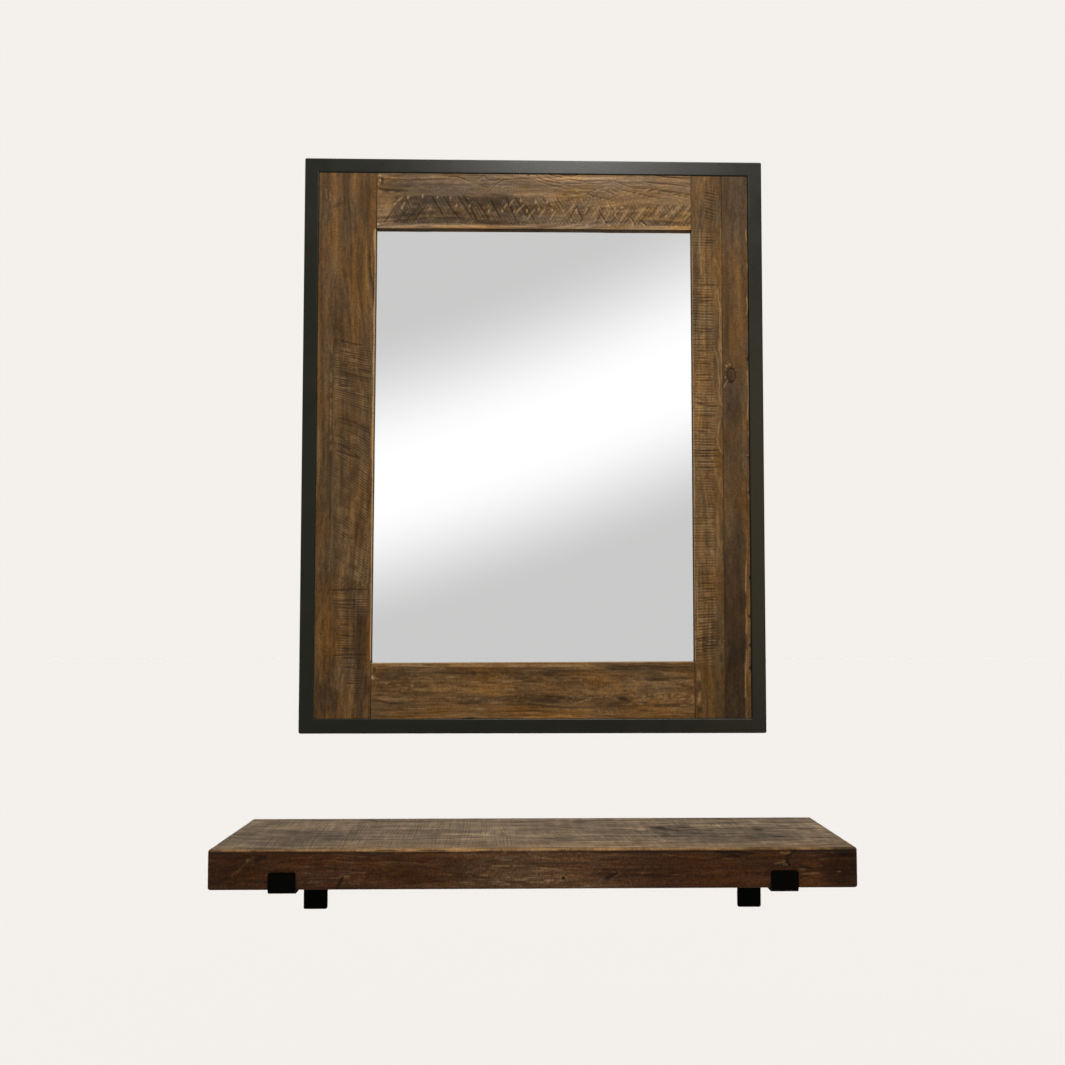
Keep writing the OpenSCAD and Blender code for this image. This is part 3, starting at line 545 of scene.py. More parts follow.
def shelf_front(r):
    x, z = r.x, r.z
    fine = r.patchy(26, 2.2, 0.4, 0.75, seed=120)
    calm = 1 - 0.5 * fade(x, 110, 200)
    r.cut(fade(x, -395, -478), shade=-0.25)
    r.cut(fade(x, 405, 470), shade=-0.75)
    r.cut(fine * calm, shade=0.36)
    r.cut(r.patchy(60, 3.2, 0.5, 0.2, seed=122) * calm, shade=-0.3 - 0.15 * fade(x, -60, 20))
    r.cut(r.patchy(34, 1.6, 0.6, 0.85, seed=119) * calm, dark=0.3 + 0.15 * fade(x, -60, 20))
    # a lighter middle to the front with pale diagonal flecks: a painted sheen
    r.cut(window(x, -130, 130, 60) * cloud(x, z, 60, 16, seed=121), shade=0.28)
    flecks = fade(cloud(x + z * 0.9, z - x * 0.25, 9, 1.6, seed=123), 0.6, 0.85)
    r.cut(flecks * r.patchy(40, 14, 0.35, 0.7, seed=124) * window(x, -110, 140, 50), bare_and_highlight=0.16)
    r.strokes(SHELF_PALE, 1.2, depth=0.2, bare_and_highlight=0.13, seed=125)
    # a brighter line along the main scratch: a painted sheen
    r.strokes(SHELF_BRIGHT, 1.2, depth=0.2, bare_and_highlight=0.36, seed=126)
    r.strokes(SHELF_GOLDEN, 2.8, depth=0.5, bare_and_highlight=0.2, seed=127)
    r.strokes(SHELF_CUTS, 4.2, depth=1.4, dark=0.95, shade=-1.3, seed=128)
    r.patches(SHELF_FRONT_PATCHES, seed=129)
    # painted shade along the lower edge of the front, fading out right of the middle
    r.cut(fade(z, 38.5, 35.5) * fade(x, 200, 0), dark=0.7)


SHELF_TOP_PATCHES = (
    (-390, 180, 70, 30, 0.3), (-350, 90, 150, 74, -0.62), (-230, 45, 90, 30, 0.2), (-35, 112, 150, 44, 0.26),
    (306, 178, 60, 18, 0.45), (380, 195, 46, 16, 0.4), (215, 165, 50, 22, -0.5), (265, 186, 30, 9, 0.6),
    (330, 150, 60, 10, -0.35), (300, 95, 140, 76, -0.4), (400, 120, 60, 90, -0.2), (130, 60, 90, 28, 0.1),
)
SHELF_GOUGES = (
    (-279, 229.5, -250, 229.5, 8, 0.85), (30, 115, 46, 100, 4, 0.7), (44, 101, 60, 92, 5, 0.5),
    (-71, 210, 24, 214, 9, 0.35), (190, 156, 224, 149, 13, 0.85), (209, 141, 237, 131, 9, 0.5),
    (232, 161, 268, 161, 7, 0.9), (315, 231, 345, 233, 8, 0.9), (-353, 95, -300, 95, 6, 0.45),
    (-301, 122, -261, 124, 6, 0.4), (9, 60, 24, 24, 4, 0.3), (311, 33, 317, 17, 4, 0.35),
)


def shelf_top(r):
    """x runs along the shelf, and z is the depth behind its front edge."""
    x, z = r.x, r.z
    lean = x + z * (0.04 + 0.13 * window(x, -20, 220, 70))
    across = kerfs(lean, z * 0.4, pitch=5.2, seed=141, reach=0.7, waver=1.6)
    across = across * (0.5 + 0.5 * r.patchy(70, 34, 0.3, 0.7, seed=142))
    # the hatch's troughs dark with dirt and painted shade, and the wood between them lighter as a painted highlight
    r.cut(across * (1 - 0.25 * window(x, -150, 150, 60)), depth=0.4, dark=0.48)
    r.cut((1 - across) ** 3 * r.patchy(7, 40, 0.3, 0.7, seed=151), shade=0.36)
    r.cut(r.patchy(46, 10, 0.45, 0.8, seed=143), shade=0.36)
    r.cut(r.patchy(40, 10, 0.5, 0.2, seed=144), shade=-0.42)
    r.cut(r.patchy(26, 5, 0.7, 0.95, seed=146, octaves=1), dark=0.5 + 0.3 * fade(x, 60, 160))
    r.cut(r.patchy(22, 6, 0.7, 0.95, seed=147, octaves=1) * fade(x, 60, 160), shade=0.7)
    r.cut(fade(z, 70, 8) * (0.3 + 0.7 * cloud(x, z, 70, 16, seed=145)) * fade(x, -400, -240), bare_and_highlight=0.2, shade=-0.15)
    for x0, z0, x1, z1, wide, dark in SHELF_GOUGES:
        r.cut(stroke(x, z, (x0, z0), (x1, z1), wide, seed=int(x0) + 960), depth=dark, dark=dark)
    r.patches(SHELF_TOP_PATCHES, seed=150)


# ---------------------------------------------------------------- building the boards


ALONG_STEP, ACROSS_STEP = 1.0, 1.45  # steps of the facing's mesh
END_STEPS, EVEN_FROM = (0.0, 0.25, 0.6), 1.2  # it is finer at its boards' ends, and even from there on
REBATE_END = 0.04  # half the length over which a rebate ends
LIP_SOFT = 0.45  # rounding of the facing's arrises
SHELF_STEP = 1.4
SHELF_SIDES = (38, 12, 4, 62)  # steps of its front, underside, back and top
SHELF_END_STEPS = np.array([0.0, 0.25, 0.8, 1.7, 2.8])
SHELF_SOFT, SHELF_BACK_SOFT = 4.0, 2.0  # rounding of the shelf's long edges
CAP_SHARES = (0.97, 0.9, 0.8, 0.68, 0.54, 0.4, 0.26, 0.12)  # sizes of the rings of the shelf's ends
CORNER_POINTS = 4  # points round a rounded arris
CROWDING = 0.7  # how much the steps crowd towards the ends of a dense side
SHARP_FROM = math.radians(50)
SHALLOWEST = 0.02  # the shaped surface lies at least this deep inside the solid
FACING_DEEPEST, SHELF_DEEPEST = 3.0, 3.5  # and at most this deep
UNWORN = 50.0  # a distance at which no arris is worn
REBATE = 10.0


def grain_place(along, across, depth, pith, seed):
    """Where a point lies in the tree, in millimetres: its distance from the pith, its place round it and along it.
    The pith drifts slowly along the board, and the rings waver."""
    drift = (wave(along, 330, seed=seed) - 0.5) * 40
    wander = (cloud(along, across, 110, 26, seed=seed + 1, octaves=3) - 0.5) * 6
    u, v = across - pith[0] - drift, depth - pith[1] - drift * 0.4
    return np.stack([np.hypot(u, v) + wander, np.arctan2(v, u) * 40.0, along], axis=-1)


def rounded(corners, sides, dense=()):
    """A closed outline: corners are (across, depth, radius) in turn, and sides the number of steps of the straight
    after each. Steps on the sides named in dense crowd towards both ends. Gives points and outward normals."""
    points, normals = [], []
    count = len(corners)
    spin = 1.0 if sum(corners[k][0] * corners[(k + 1) % count][1] - corners[(k + 1) % count][0] * corners[k][1]
                      for k in range(count)) > 0 else -1.0
    for k, (a, d, radius) in enumerate(corners):
        here = np.array((a, d), float)
        before, after = (np.array(corners[(k + step) % count][:2], float) - here for step in (-1, 1))
        before, after = before / np.hypot(*before), after / np.hypot(*after)
        into, out = np.array((-before[1], before[0])) * spin, np.array((after[1], -after[0])) * spin
        turns = CORNER_POINTS if radius else 1
        for step in range(turns):
            t = step / (turns - 1) if radius else 0.5
            normal = into * (1 - t) + out * t
            normal = normal / max(np.hypot(*normal), 1e-6)
            centre = here + (before + after) * radius
            points.append(centre + normal * radius if radius else here)
            normals.append(normal)
        end_corner = corners[(k + 1) % count]
        length = np.hypot(*(np.array(end_corner[:2], float) - here))
        first, last = radius / length, 1 - end_corner[2] / length
        for step in range(1, sides[k]):
            t = step / sides[k]
            if k in dense:
                t = t - math.sin(2 * math.pi * t) * CROWDING / (2 * math.pi)
            points.append(here + after * length * (first + (last - first) * t))
            normals.append(out)
    return np.array(points), np.array(normals)


def loft(name, rings, fields, close_with=None):
    """A closed mesh through rings of points (stations, points, 3), in metres, with its fields as attributes.
    The ends are closed with fans to the points close_with, or to the middles of the end rings."""
    stations, count = rings.shape[:2]
    index = np.arange(stations * count).reshape(stations, count)
    a, b = index[:-1], index[1:]
    faces = np.stack([a, np.roll(a, -1, 1), np.roll(b, -1, 1), b], axis=-1).reshape(-1, 4).tolist()
    ends = [rings[0].mean(0), rings[-1].mean(0)] if close_with is None else close_with
    verts = np.vstack([rings.reshape(-1, 3), np.array(ends)])
    for centre, ring, turn in ((len(verts) - 2, index[0], 1), (len(verts) - 1, index[-1], -1)):
        faces += [[centre, *pair[::turn]] for pair in zip(np.roll(ring, -1).tolist(), ring.tolist())]
    mesh = bpy.data.meshes.new(name)
    mesh.from_pydata(verts.tolist(), [], faces)
    for field, values in fields.items():
        vector = values.ndim == 3
        flat = values.reshape(-1, 3) if vector else values.reshape(-1)
        flat = np.concatenate([flat, flat[[0, -1]]])
        kind, key = ("FLOAT_VECTOR", "vector") if vector else ("FLOAT", "value")
        mesh.attributes.new(field, kind, "POINT").data.foreach_set(key, flat.astype(np.float32).ravel())
    mesh.shade_smooth()
    mesh.set_sharp_from_angle(angle=SHARP_FROM)
    board = bpy.data.objects.new(name, mesh)
    bpy.context.collection.objects.link(board)
    return board


mirror_low = np.array(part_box("steel_tube_bottom")[0]) / MM
mirror_high = np.array(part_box("steel_tube_top")[1]) / MM
MIDDLE_Z = (mirror_low[2] + mirror_high[2]) / 2
FRONT_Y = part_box("left_stile")[0][1] / MM
BACK_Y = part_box("left_stile")[1][1] / MM
GLASS_FRONT_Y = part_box("mirror_glass")[0][1] / MM
OPEN_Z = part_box("top_rail")[0][2] / MM - MIDDLE_Z


def facing_board(node, runs, marks, pith, seed, inner_wear, outer_wear, lean=(0.0, 0.0), rebated=True,
                 stopped=False, ends=(0.0, 0.0), painted_side_shade=0.9):
    """A board of the facing. runs is "x" for a rail and "z" for a stile, and marks the function that marks it. lean
    moves its inner edge inwards by so much at its two ends, and ends shortens it there. stopped says that the rebate
    ends inside the board's length, and the last argument how dark the painted shade on its sides is. The wears are
    each (reach, depth, bare)."""
    low, high = (np.array(corner) / MM - (0, 0, MIDDLE_Z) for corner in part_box(node))
    axis, cross = (0, 2) if runs == "x" else (2, 0)
    outward = 1.0 if low[cross] + high[cross] > 0 else -1.0
    inner, outer = (low[cross], high[cross]) if outward > 0 else (high[cross], low[cross])
    width = abs(outer - inner)
    start, end = low[axis] + ends[0], high[axis] - ends[1]
    along = [start + step for step in END_STEPS] + list(np.arange(start + EVEN_FROM, end - EVEN_FROM, ALONG_STEP))
    along += [end - step for step in END_STEPS[::-1]]
    stop = OPEN_Z + REBATE
    if stopped:
        along = sorted(along + [-stop - REBATE_END, -stop + REBATE_END, stop - REBATE_END, stop + REBATE_END])
    along = np.array(along)
    # the outline across the board: with the rebate, and full where there is none
    front_corners = [(width, FRONT_Y, LIP_SOFT), (0, FRONT_Y, LIP_SOFT)]
    across_steps, back_steps = max(12, int(width / ACROSS_STEP)), max(4, int(width / 8))
    if rebated:
        notch = [(0, GLASS_FRONT_Y, 0), (REBATE, GLASS_FRONT_Y, 0), (REBATE, BACK_Y, 0), (width, BACK_Y, 0)]
        plain = [(0, GLASS_FRONT_Y, 0), (0, BACK_Y, 0), (REBATE, BACK_Y, 0), (width, BACK_Y, 0)]
        sides = [across_steps, 5, 2, 2, back_steps, 4]
    else:
        notch = plain = [(0, BACK_Y, 0), (width, BACK_Y, 0)]
        sides = [across_steps, 5, back_steps, 4]
    cut_outline, full_outline = (rounded(front_corners + rest, sides, dense=(0,)) for rest in (notch, plain))
    use_full = (np.abs(along) > stop if stopped else np.zeros(len(along), bool))[:, None]
    a, d, na, nd = (np.where(use_full, full[None, :, k], cut[None, :, k])
                    for cut, full in zip(cut_outline, full_outline) for k in (0, 1))
    s = np.repeat(along[:, None], a.shape[1], 1)
    share = (s - start) / (end - start)
    shift = lean[0] + (lean[1] - lean[0]) * share
    t = inner + outward * (a - shift * np.clip(1 - a / REBATE, 0, 1))
    x, z = (s, t) if runs == "x" else (t, s)
    relief = Relief(x, z)
    marks(relief)
    down = d - FRONT_Y
    # where a rail joins the stile there is no arris to wear, so the arris is taken to lie far off
    joined = UNWORN * fade(np.abs(s), OPEN_Z - 4, OPEN_Z + 1) * stopped
    for distance, (reach, wear, bare_and_highlight), wear_seed in ((a + joined, inner_wear, 300), (width - a, outer_wear, 310)):
        relief.worn_edge(np.hypot(distance, down * 1.4), s, reach, wear, seed + wear_seed, bare_and_highlight=bare_and_highlight)
    faces_front = fade(down, 6.0, 1.5)
    end_gap = np.minimum(s - start, end - s)
    relief.cut(fade(end_gap, 1.0, 0.3), dark=0.6)
    # painted shade on the board's sides behind the front, round the glass too, laid over any bare wood there
    painted_side_shade_mask = fade(down, 0.5, 1.4) * painted_side_shade
    relief.bare_and_highlight, relief.dark = relief.bare_and_highlight * (1 - painted_side_shade_mask), np.maximum(relief.dark, painted_side_shade_mask)
    fall = 0.5 * np.clip(1 - end_gap / 0.9, 0, 1) ** 2
    height = -np.abs(relief.height) - 0.22 * cloud(s, t, 55, 14, seed=seed + 320, octaves=3) - fall
    height = np.clip(height, -FACING_DEEPEST, -SHALLOWEST) * faces_front
    a_out, d_out = a + na * height, d + nd * height
    t = inner + outward * (a_out - shift * np.clip(1 - a_out / REBATE, 0, 1))
    place = [None, d_out, None]
    place[axis], place[cross] = s, t
    place[2] = place[2] + MIDDLE_Z
    rings = np.stack(place, axis=-1) * MM
    grain = grain_place(s, a + relief.push, d, pith, seed)
    seen = fade(down, 12.0, 7.5)  # the marks stay on the front and the sides
    fields = {"grain": grain * MM, "bare_and_highlight": relief.bare_and_highlight * seen, "dark": relief.dark * seen,
              "shade": relief.shade * seen}
    # the point that each end is closed to has to lie inside the outline, clear of the rebate
    heart = [rings[k].mean(0) for k in (0, -1)]
    for point in heart:
        point[cross] = (inner + outward * width * 0.35 + (MIDDLE_Z if cross == 2 else 0)) * MM
        point[1] = (FRONT_Y + 4.0) * MM
    board = loft(node + "_timber", rings, fields, heart)
    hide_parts(node)
    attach(board, "root")
    return board


def shelf_timber():
    """The shelf: a planed top, a rough front with a worn upper arris, and sawn ends."""
    low, high = (np.array(corner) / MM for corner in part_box("shelf_board"))
    depth, thick = high[1] - low[1], high[2] - low[2]
    # a runs from the front edge backwards, and d from the top down
    outline = rounded([(0, 0, SHELF_SOFT), (0, thick, SHELF_SOFT), (depth, thick, SHELF_BACK_SOFT),
                       (depth, 0, SHELF_BACK_SOFT)], SHELF_SIDES)
    s = np.array([*(low[0] + SHELF_END_STEPS), *np.arange(low[0] + 4, high[0] - 3.5, SHELF_STEP),
                  *(high[0] - SHELF_END_STEPS[::-1])])
    s = np.repeat(s[:, None], len(outline[0]), 1)
    a, d, na, nd = (np.repeat(values[None, :, k], len(s), 0) for values in outline for k in (0, 1))
    up = low[2] + thick - d
    front, top = Relief(s, up), Relief(s, a)
    shelf_front(front)
    shelf_top(top)
    on_front, on_top = fade(a, 5.0, 1.0), fade(d, 4.0, 0.8) * fade(a, 0.5, 3.0)
    # the worn upper arris, the lower one, and a ragged groove under the upper one that is darkened as painted shade
    edge = Relief(s, a)
    arris = np.hypot(a, d)
    edge.worn_edge(arris, s, 3.2, 1.2, 161, bare_and_highlight=0.8 - 0.25 * fade(s, 60, 220))
    reach = 3.5 + 1.4 * window(s, -250, -60, 60) + 2.0 * (wave(s, 20, seed=160, octaves=3) - 0.5)
    rim = fade(arris, reach, reach * 0.6) * (0.6 + 0.4 * window(s, -340, 190, 70))
    edge.cut(rim * (0.5 + 0.5 * fade(wave(s, 30, seed=163, octaves=3), 0.25, 0.6)), depth=0.3, bare_and_highlight=0.62)
    edge.worn_edge(np.hypot(a, thick - d), s, 1.4, 1.0, 162, bare_and_highlight=0.2)
    # the groove under the upper arris, darkened as painted shade
    ragged = 4.6 + 2.4 * (wave(s, 22, seed=165, octaves=3) - 0.5)
    edge.cut(window(d, ragged, ragged + 2.6, 0.5) * fade(a, 4.0, 1.0) * fade(wave(s, 34, seed=166), 0.2, 0.5),
             depth=0.6, dark=0.85)
    for low_x, high_x in ((-238, -203), (-171, -130), (35, 48), (-471, -466), (-419, -413)):
        crack = window(s, low_x, high_x, 5) * fade(np.abs(d - 2.2 - 0.7 * np.sin(s / 6)), 1.3, 0.5) * fade(a, 4, 2)
        edge.cut(crack, depth=1.2, dark=0.85)
    edge.cut(window(s, 330, 475, 30) * fade(arris, 7, 2), shade=-0.5)
    edge.cut(window(s, 445, 482, 8) * fade(arris, 6, 2), dark=0.6)
    height = -np.abs(front.height) * on_front - np.abs(top.height) * on_top - np.abs(edge.height)
    height = height - 0.5 * cloud(s, a + d, 90, 16, seed=164, octaves=3) * np.maximum(on_front, 0.3)
    out = np.minimum(s - low[0], high[0] - s)
    end_round = SHELF_SOFT - np.sqrt(np.clip(SHELF_SOFT**2 - np.clip(SHELF_SOFT - out, 0, SHELF_SOFT) ** 2, 0, None))
    height = np.clip(height, -SHELF_DEEPEST, -SHALLOWEST) - end_round
    a_out, d_out = a + na * height, d + nd * height
    rings = np.stack([s, low[1] + a_out, low[2] + thick - d_out], axis=-1)
    bare_and_highlight = np.maximum(front.bare_and_highlight * on_front, np.maximum(top.bare_and_highlight * on_top, edge.bare_and_highlight))
    dark = np.maximum(front.dark * on_front, np.maximum(top.dark * on_top, edge.dark))
    shade = front.shade * on_front + top.shade * on_top + edge.shade
    # painted glints, and a painted grey sheen across the middle of the front; the greyer top face is partly weathered
    # wood and partly painted sheen
    painted_glints = fade(cloud(s, up, 20, 1.4, seed=171), 0.6, 0.85) * fade(cloud(s, up, 60, 30, seed=172), 0.3, 0.6)
    grey_and_sheen = (0.16 + 0.6 * painted_glints) * window(s, -130, 130, 60) + 0.5 * painted_glints * window(s, -330, -230, 30)
    weathered_and_sheen = np.maximum(fade(d, 5.0, 0.5) * fade(a, 0.0, 5.0), grey_and_sheen * on_front)
    # the rough sawn ends, in rings that shrink towards the middle
    caps = []
    for ring, at, inwards in ((0, low[0], 1), (-1, high[0], -1)):
        middle = np.array([at, low[1] + depth / 2, low[2] + thick / 2])
        cap = []
        for share in CAP_SHARES:
            loop = middle + (rings[ring] - middle) * share
            rough = cloud(loop[:, 1], loop[:, 2], 9, 2.2, seed=165 + ring, octaves=3)
            loop[:, 0] = at + (0.1 + 0.9 * rough) * inwards
            cap.append(loop)
        caps.append(np.array(cap))
    rings = np.concatenate([caps[0][::-1], rings, caps[1]])

    def with_caps(values, level=0.0):
        cap_rows = np.full((len(CAP_SHARES), values.shape[1]), level)
        return np.concatenate([cap_rows, values, cap_rows])

    across, down = rings[..., 1] - low[1], low[2] + thick - rings[..., 2]
    grain = grain_place(rings[..., 0], across, down, (150, 130), 166)
    fields = {"grain": grain * MM, "bare_and_highlight": with_caps(bare_and_highlight), "dark": with_caps(dark, 0.25),
              "shade": with_caps(shade, -0.3), "weathered_and_sheen": with_caps(weathered_and_sheen)}
    board = loft("shelf_board_timber", rings * MM, fields)
    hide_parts("shelf_board")
    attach(board, "root")
    return board


# ---------------------------------------------------------------- shader nodes


def add_node(tree, kind, inputs=None, **settings):
    """One shader node. inputs maps a socket's name or number to a value or to a socket that feeds it."""
    made = tree.nodes.new("ShaderNode" + kind)
    for name, value in settings.items():
        setattr(made, name, value)
    for name, value in (inputs or {}).items():
        if isinstance(value, bpy.types.NodeSocket):
            tree.links.new(value, made.inputs[name])
        else:
            made.inputs[name].default_value = value
    return made


def maths(tree, operation, *values, clamp=False):
    return add_node(tree, "Math", dict(enumerate(values)), operation=operation, use_clamp=clamp).outputs[0]


def mixed(tree, factor, first, second, blend="MIX"):
    made = add_node(tree, "Mix", {0: factor, 6: first, 7: second}, data_type="RGBA", blend_type=blend)
    return made.outputs[2]


def noise(tree, vector, scale, detail, roughness=0.5, distortion=0.0):
    """Noise from 0 to 1. scale is one number, or one for each axis."""
    if isinstance(scale, tuple):
        vector = add_node(tree, "VectorMath", {0: vector, 1: scale}, operation="MULTIPLY").outputs[0]
        scale = 1.0
    return add_node(tree, "TexNoise", {"Vector": vector, "Scale": scale, "Detail": detail, "Roughness": roughness,
                                       "Distortion": distortion}).outputs[0]


def ramped(tree, value, start, end):
    """0 up to start, and 1 from end on."""
    ramp = add_node(tree, "ValToRGB", {0: value})
    for element, position, level in zip(ramp.color_ramp.elements, (start, end), (0.0, 1.0)):
        element.position, element.color = position, (level, level, level, 1)
    return ramp.outputs[0]


def group(name, takes, gives):
    """An empty node group with its sockets: takes and gives map names to kinds."""
    tree = bpy.data.node_groups.new(name, "ShaderNodeTree")
    for sockets, way in ((takes, "INPUT"), (gives, "OUTPUT")):
        for label, kind in sockets.items():
            tree.interface.new_socket(label, in_out=way, socket_type="NodeSocket" + kind)
    return tree, tree.nodes.new("NodeGroupInput").outputs, tree.nodes.new("NodeGroupOutput").inputs


def placed(tree, shared, inputs):
    """A shared effect in a material, with its own values."""
    return add_node(tree, "Group", inputs, node_tree=shared).outputs


def material(name, **surface):
    """A material with one Principled shader. surface gives its fixed values."""
    made = bpy.data.materials.new(name)
    made.use_nodes = True
    shader = made.node_tree.nodes["Principled BSDF"]
    for label, value in surface.items():
        shader.inputs[label.replace("_", " ")].default_value = value
    return made, made.node_tree, shader


def feed(tree, shader, colour, roughness, height, strength, distance):
    """Joins a colour, a roughness and a height to the shader."""
    bump = add_node(tree, "Bump", {"Strength": strength, "Distance": distance, "Height": height}).outputs[0]
    for value, label in ((colour, "Base Color"), (roughness, "Roughness"), (bump, "Normal")):
        tree.links.new(value, shader.inputs[label])


def grain_group():
    """Grain of old softwood, from the place in the tree: year rings, fibres, pores and uneven stain."""
    tree, given, result = group(
        "Timber grain",
        {"Place in tree": "Vector", "Stain": "Color", "Light wood": "Color", "Dark wood": "Color",
         "Ring contrast": "Float", "Streaks": "Float"},
        {"Color": "Color", "Height": "Float", "Streak": "Float"},
    )
    place = given["Place in tree"]
    # every scale is across the rings, round the pith and along the grain
    rings = ramped(tree, noise(tree, place, (330, 12, 2.6), 3.0, 0.6, 0.15), 0.36, 0.64)
    fibres = noise(tree, place, (560, 330, 60), 3.0, 0.7)
    streaks = ramped(tree, noise(tree, place, (170, 40, 5.5), 4.0, 0.66, 0.15), 0.36, 0.66)
    patches = ramped(tree, noise(tree, place, (22, 16, 6), 3.0, 0.55), 0.3, 0.7)
    pores = ramped(tree, noise(tree, place, (900, 600, 60), 1.0), 0.62, 0.74)
    tone = maths(tree, "MULTIPLY", streaks, given["Streaks"])
    tone = maths(tree, "ADD", tone, maths(tree, "MULTIPLY", patches, 0.35))
    tone = maths(tree, "ADD", tone, maths(tree, "MULTIPLY", maths(tree, "SUBTRACT", fibres, 0.5), 1.5), clamp=True)
    colour = mixed(tree, tone, given["Stain"], given["Light wood"])
    lines = maths(tree, "MULTIPLY", rings, given["Ring contrast"], clamp=True)
    colour = mixed(tree, lines, colour, given["Dark wood"])
    colour = mixed(tree, maths(tree, "MULTIPLY", pores, 0.5), colour, given["Dark wood"])
    hue = ramped(tree, noise(tree, place, (70, 30, 8), 3.0, 0.6), 0.36, 0.64)
    hue = mixed(tree, hue, (1.1, 0.98, 0.72, 1), (0.9, 1.0, 1.42, 1))
    colour = mixed(tree, 1.0, colour, hue, "MULTIPLY")
    height = maths(tree, "ADD", maths(tree, "MULTIPLY", fibres, 0.45), maths(tree, "MULTIPLY", rings, -0.35))
    height = maths(tree, "SUBTRACT", height, maths(tree, "MULTIPLY", pores, 0.4))
    for value, label in ((colour, "Color"), (height, "Height"), (streaks, "Streak")):
        tree.links.new(value, result[label])
    return tree


def age_and_painted_light_group():
    """Age on timber, with painted light: bare wood where it is rubbed and pale painted highlights, dark where dirt
    and old stain sit and where shade is painted, and lighter or darker areas.
    """
    tree, given, result = group(
        "Age and painted light on timber",
        {"Color": "Color", "Bare wood and painted highlight": "Color", "Dirt and painted shade": "Color", "Bare and painted highlight": "Float", "Dark": "Float",
         "Shade": "Float", "Streak": "Float", "Waxed roughness": "Float", "Place in tree": "Vector",
         "Speckle": "Float"},
        {"Color": "Color", "Roughness": "Float", "Height": "Float"},
    )
    fine = ramped(tree, noise(tree, given["Place in tree"], 420.0, 3.0, 0.65), 0.3, 0.7)
    speckle = maths(tree, "MULTIPLY", maths(tree, "SUBTRACT", fine, 0.5), given["Speckle"])
    lift = maths(tree, "POWER", 2.0, maths(tree, "MULTIPLY_ADD", given["Shade"], 1.25, speckle))
    grey = add_node(tree, "CombineColor", {0: lift, 1: lift, 2: lift}).outputs[0]
    colour = mixed(tree, 1.0, given["Color"], grey, "MULTIPLY")
    for amount, covers, least, uneven in (("Dark", "Dirt and painted shade", 0.75, 0.4), ("Bare and painted highlight", "Bare wood and painted highlight", 0.55, 0.6)):
        patchy = maths(tree, "ADD", least, maths(tree, "MULTIPLY", fine, uneven))
        colour = mixed(tree, maths(tree, "MULTIPLY", given[amount], patchy, clamp=True), colour, given[covers])
    rough = maths(tree, "ADD", given["Waxed roughness"], maths(tree, "MULTIPLY", fine, 0.12))
    rough = maths(tree, "ADD", rough, maths(tree, "MULTIPLY", given["Bare and painted highlight"], 0.14))
    rough = maths(tree, "ADD", rough, maths(tree, "MULTIPLY", given["Dark"], 0.2))
    rough = maths(tree, "SUBTRACT", rough, maths(tree, "MULTIPLY", given["Streak"], 0.06), clamp=True)
    height = maths(tree, "MULTIPLY", fine, 0.25)
    for value, label in ((colour, "Color"), (rough, "Roughness"), (height, "Height")):
        tree.links.new(value, result[label])
    return tree


def speckle_group():
    """Fine unevenness of a coated or rolled surface: a mask of soft mottling and a fine pebbled height."""
    tree, given, result = group("Speckle", {"Mottle size": "Float", "Grain size": "Float"},
                                {"Mottle": "Float", "Height": "Float"})
    where = add_node(tree, "TexCoord").outputs["Object"]
    mottle = ramped(tree, noise(tree, where, given["Mottle size"], 4.0, 0.6), 0.32, 0.7)
    for value, label in ((mottle, "Mottle"), (noise(tree, where, given["Grain size"], 2.0), "Height")):
        tree.links.new(value, result[label])
    return tree


GRAIN, AGE_AND_PAINTED_LIGHT, SPECKLE = grain_group(), age_and_painted_light_group(), speckle_group()
# the colour of dirt, which also serves as painted shade
DIRT_AND_PAINTED_SHADE = (0.018, 0.010, 0.005, 1)
STREAKS = 0.6  # how strong the light streaks are in every timber


def timber(name, stain, light, dark, bare_and_highlight=(0.4, 0.24, 0.105, 1), rings=0.5, roughness=0.55, weather_and_sheen=None, gloss=0.09,
           speckle=0.85):
    """Old timber under dark wax. A greyer colour, partly weathered wood and partly a painted sheen, is laid on where
    the board says so: on a top face and in the painted sheen and glints of the shelf's front.
    """
    made, tree, shader = material(name, Specular_IOR_Level=gloss)
    read = {label: add_node(tree, "Attribute", attribute_name=label).outputs["Vector" if label == "grain" else "Fac"]
            for label in ("grain", "bare_and_highlight", "dark", "shade")}
    grain = placed(tree, GRAIN, {"Place in tree": read["grain"], "Stain": stain, "Light wood": light,
                                 "Dark wood": dark, "Ring contrast": rings, "Streaks": STREAKS})
    colour = grain["Color"]
    # a greyer colour, partly weathered wood and partly painted sheen
    if weather_and_sheen:
        top = add_node(tree, "Attribute", attribute_name="weathered_and_sheen").outputs["Fac"]
        hollows, crests = (tuple(c * tone for c in weather_and_sheen[:3]) + (1,) for tone in (0.48, 1.08))
        grey_and_sheen = mixed(tree, grain["Streak"], hollows, crests)
        colour = mixed(tree, maths(tree, "MULTIPLY", top, 0.8), colour, grey_and_sheen)
    aged_and_lit = placed(tree, AGE_AND_PAINTED_LIGHT, {"Color": colour, "Bare wood and painted highlight": bare_and_highlight, "Dirt and painted shade": DIRT_AND_PAINTED_SHADE, "Bare and painted highlight": read["bare_and_highlight"],
                              "Dark": read["dark"], "Shade": read["shade"], "Streak": grain["Streak"],
                              "Waxed roughness": roughness, "Speckle": speckle, "Place in tree": read["grain"]})
    height = maths(tree, "ADD", grain["Height"], aged_and_lit["Height"])
    feed(tree, shader, aged_and_lit["Color"], aged_and_lit["Roughness"], height, strength=0.55, distance=0.0005)
    return made


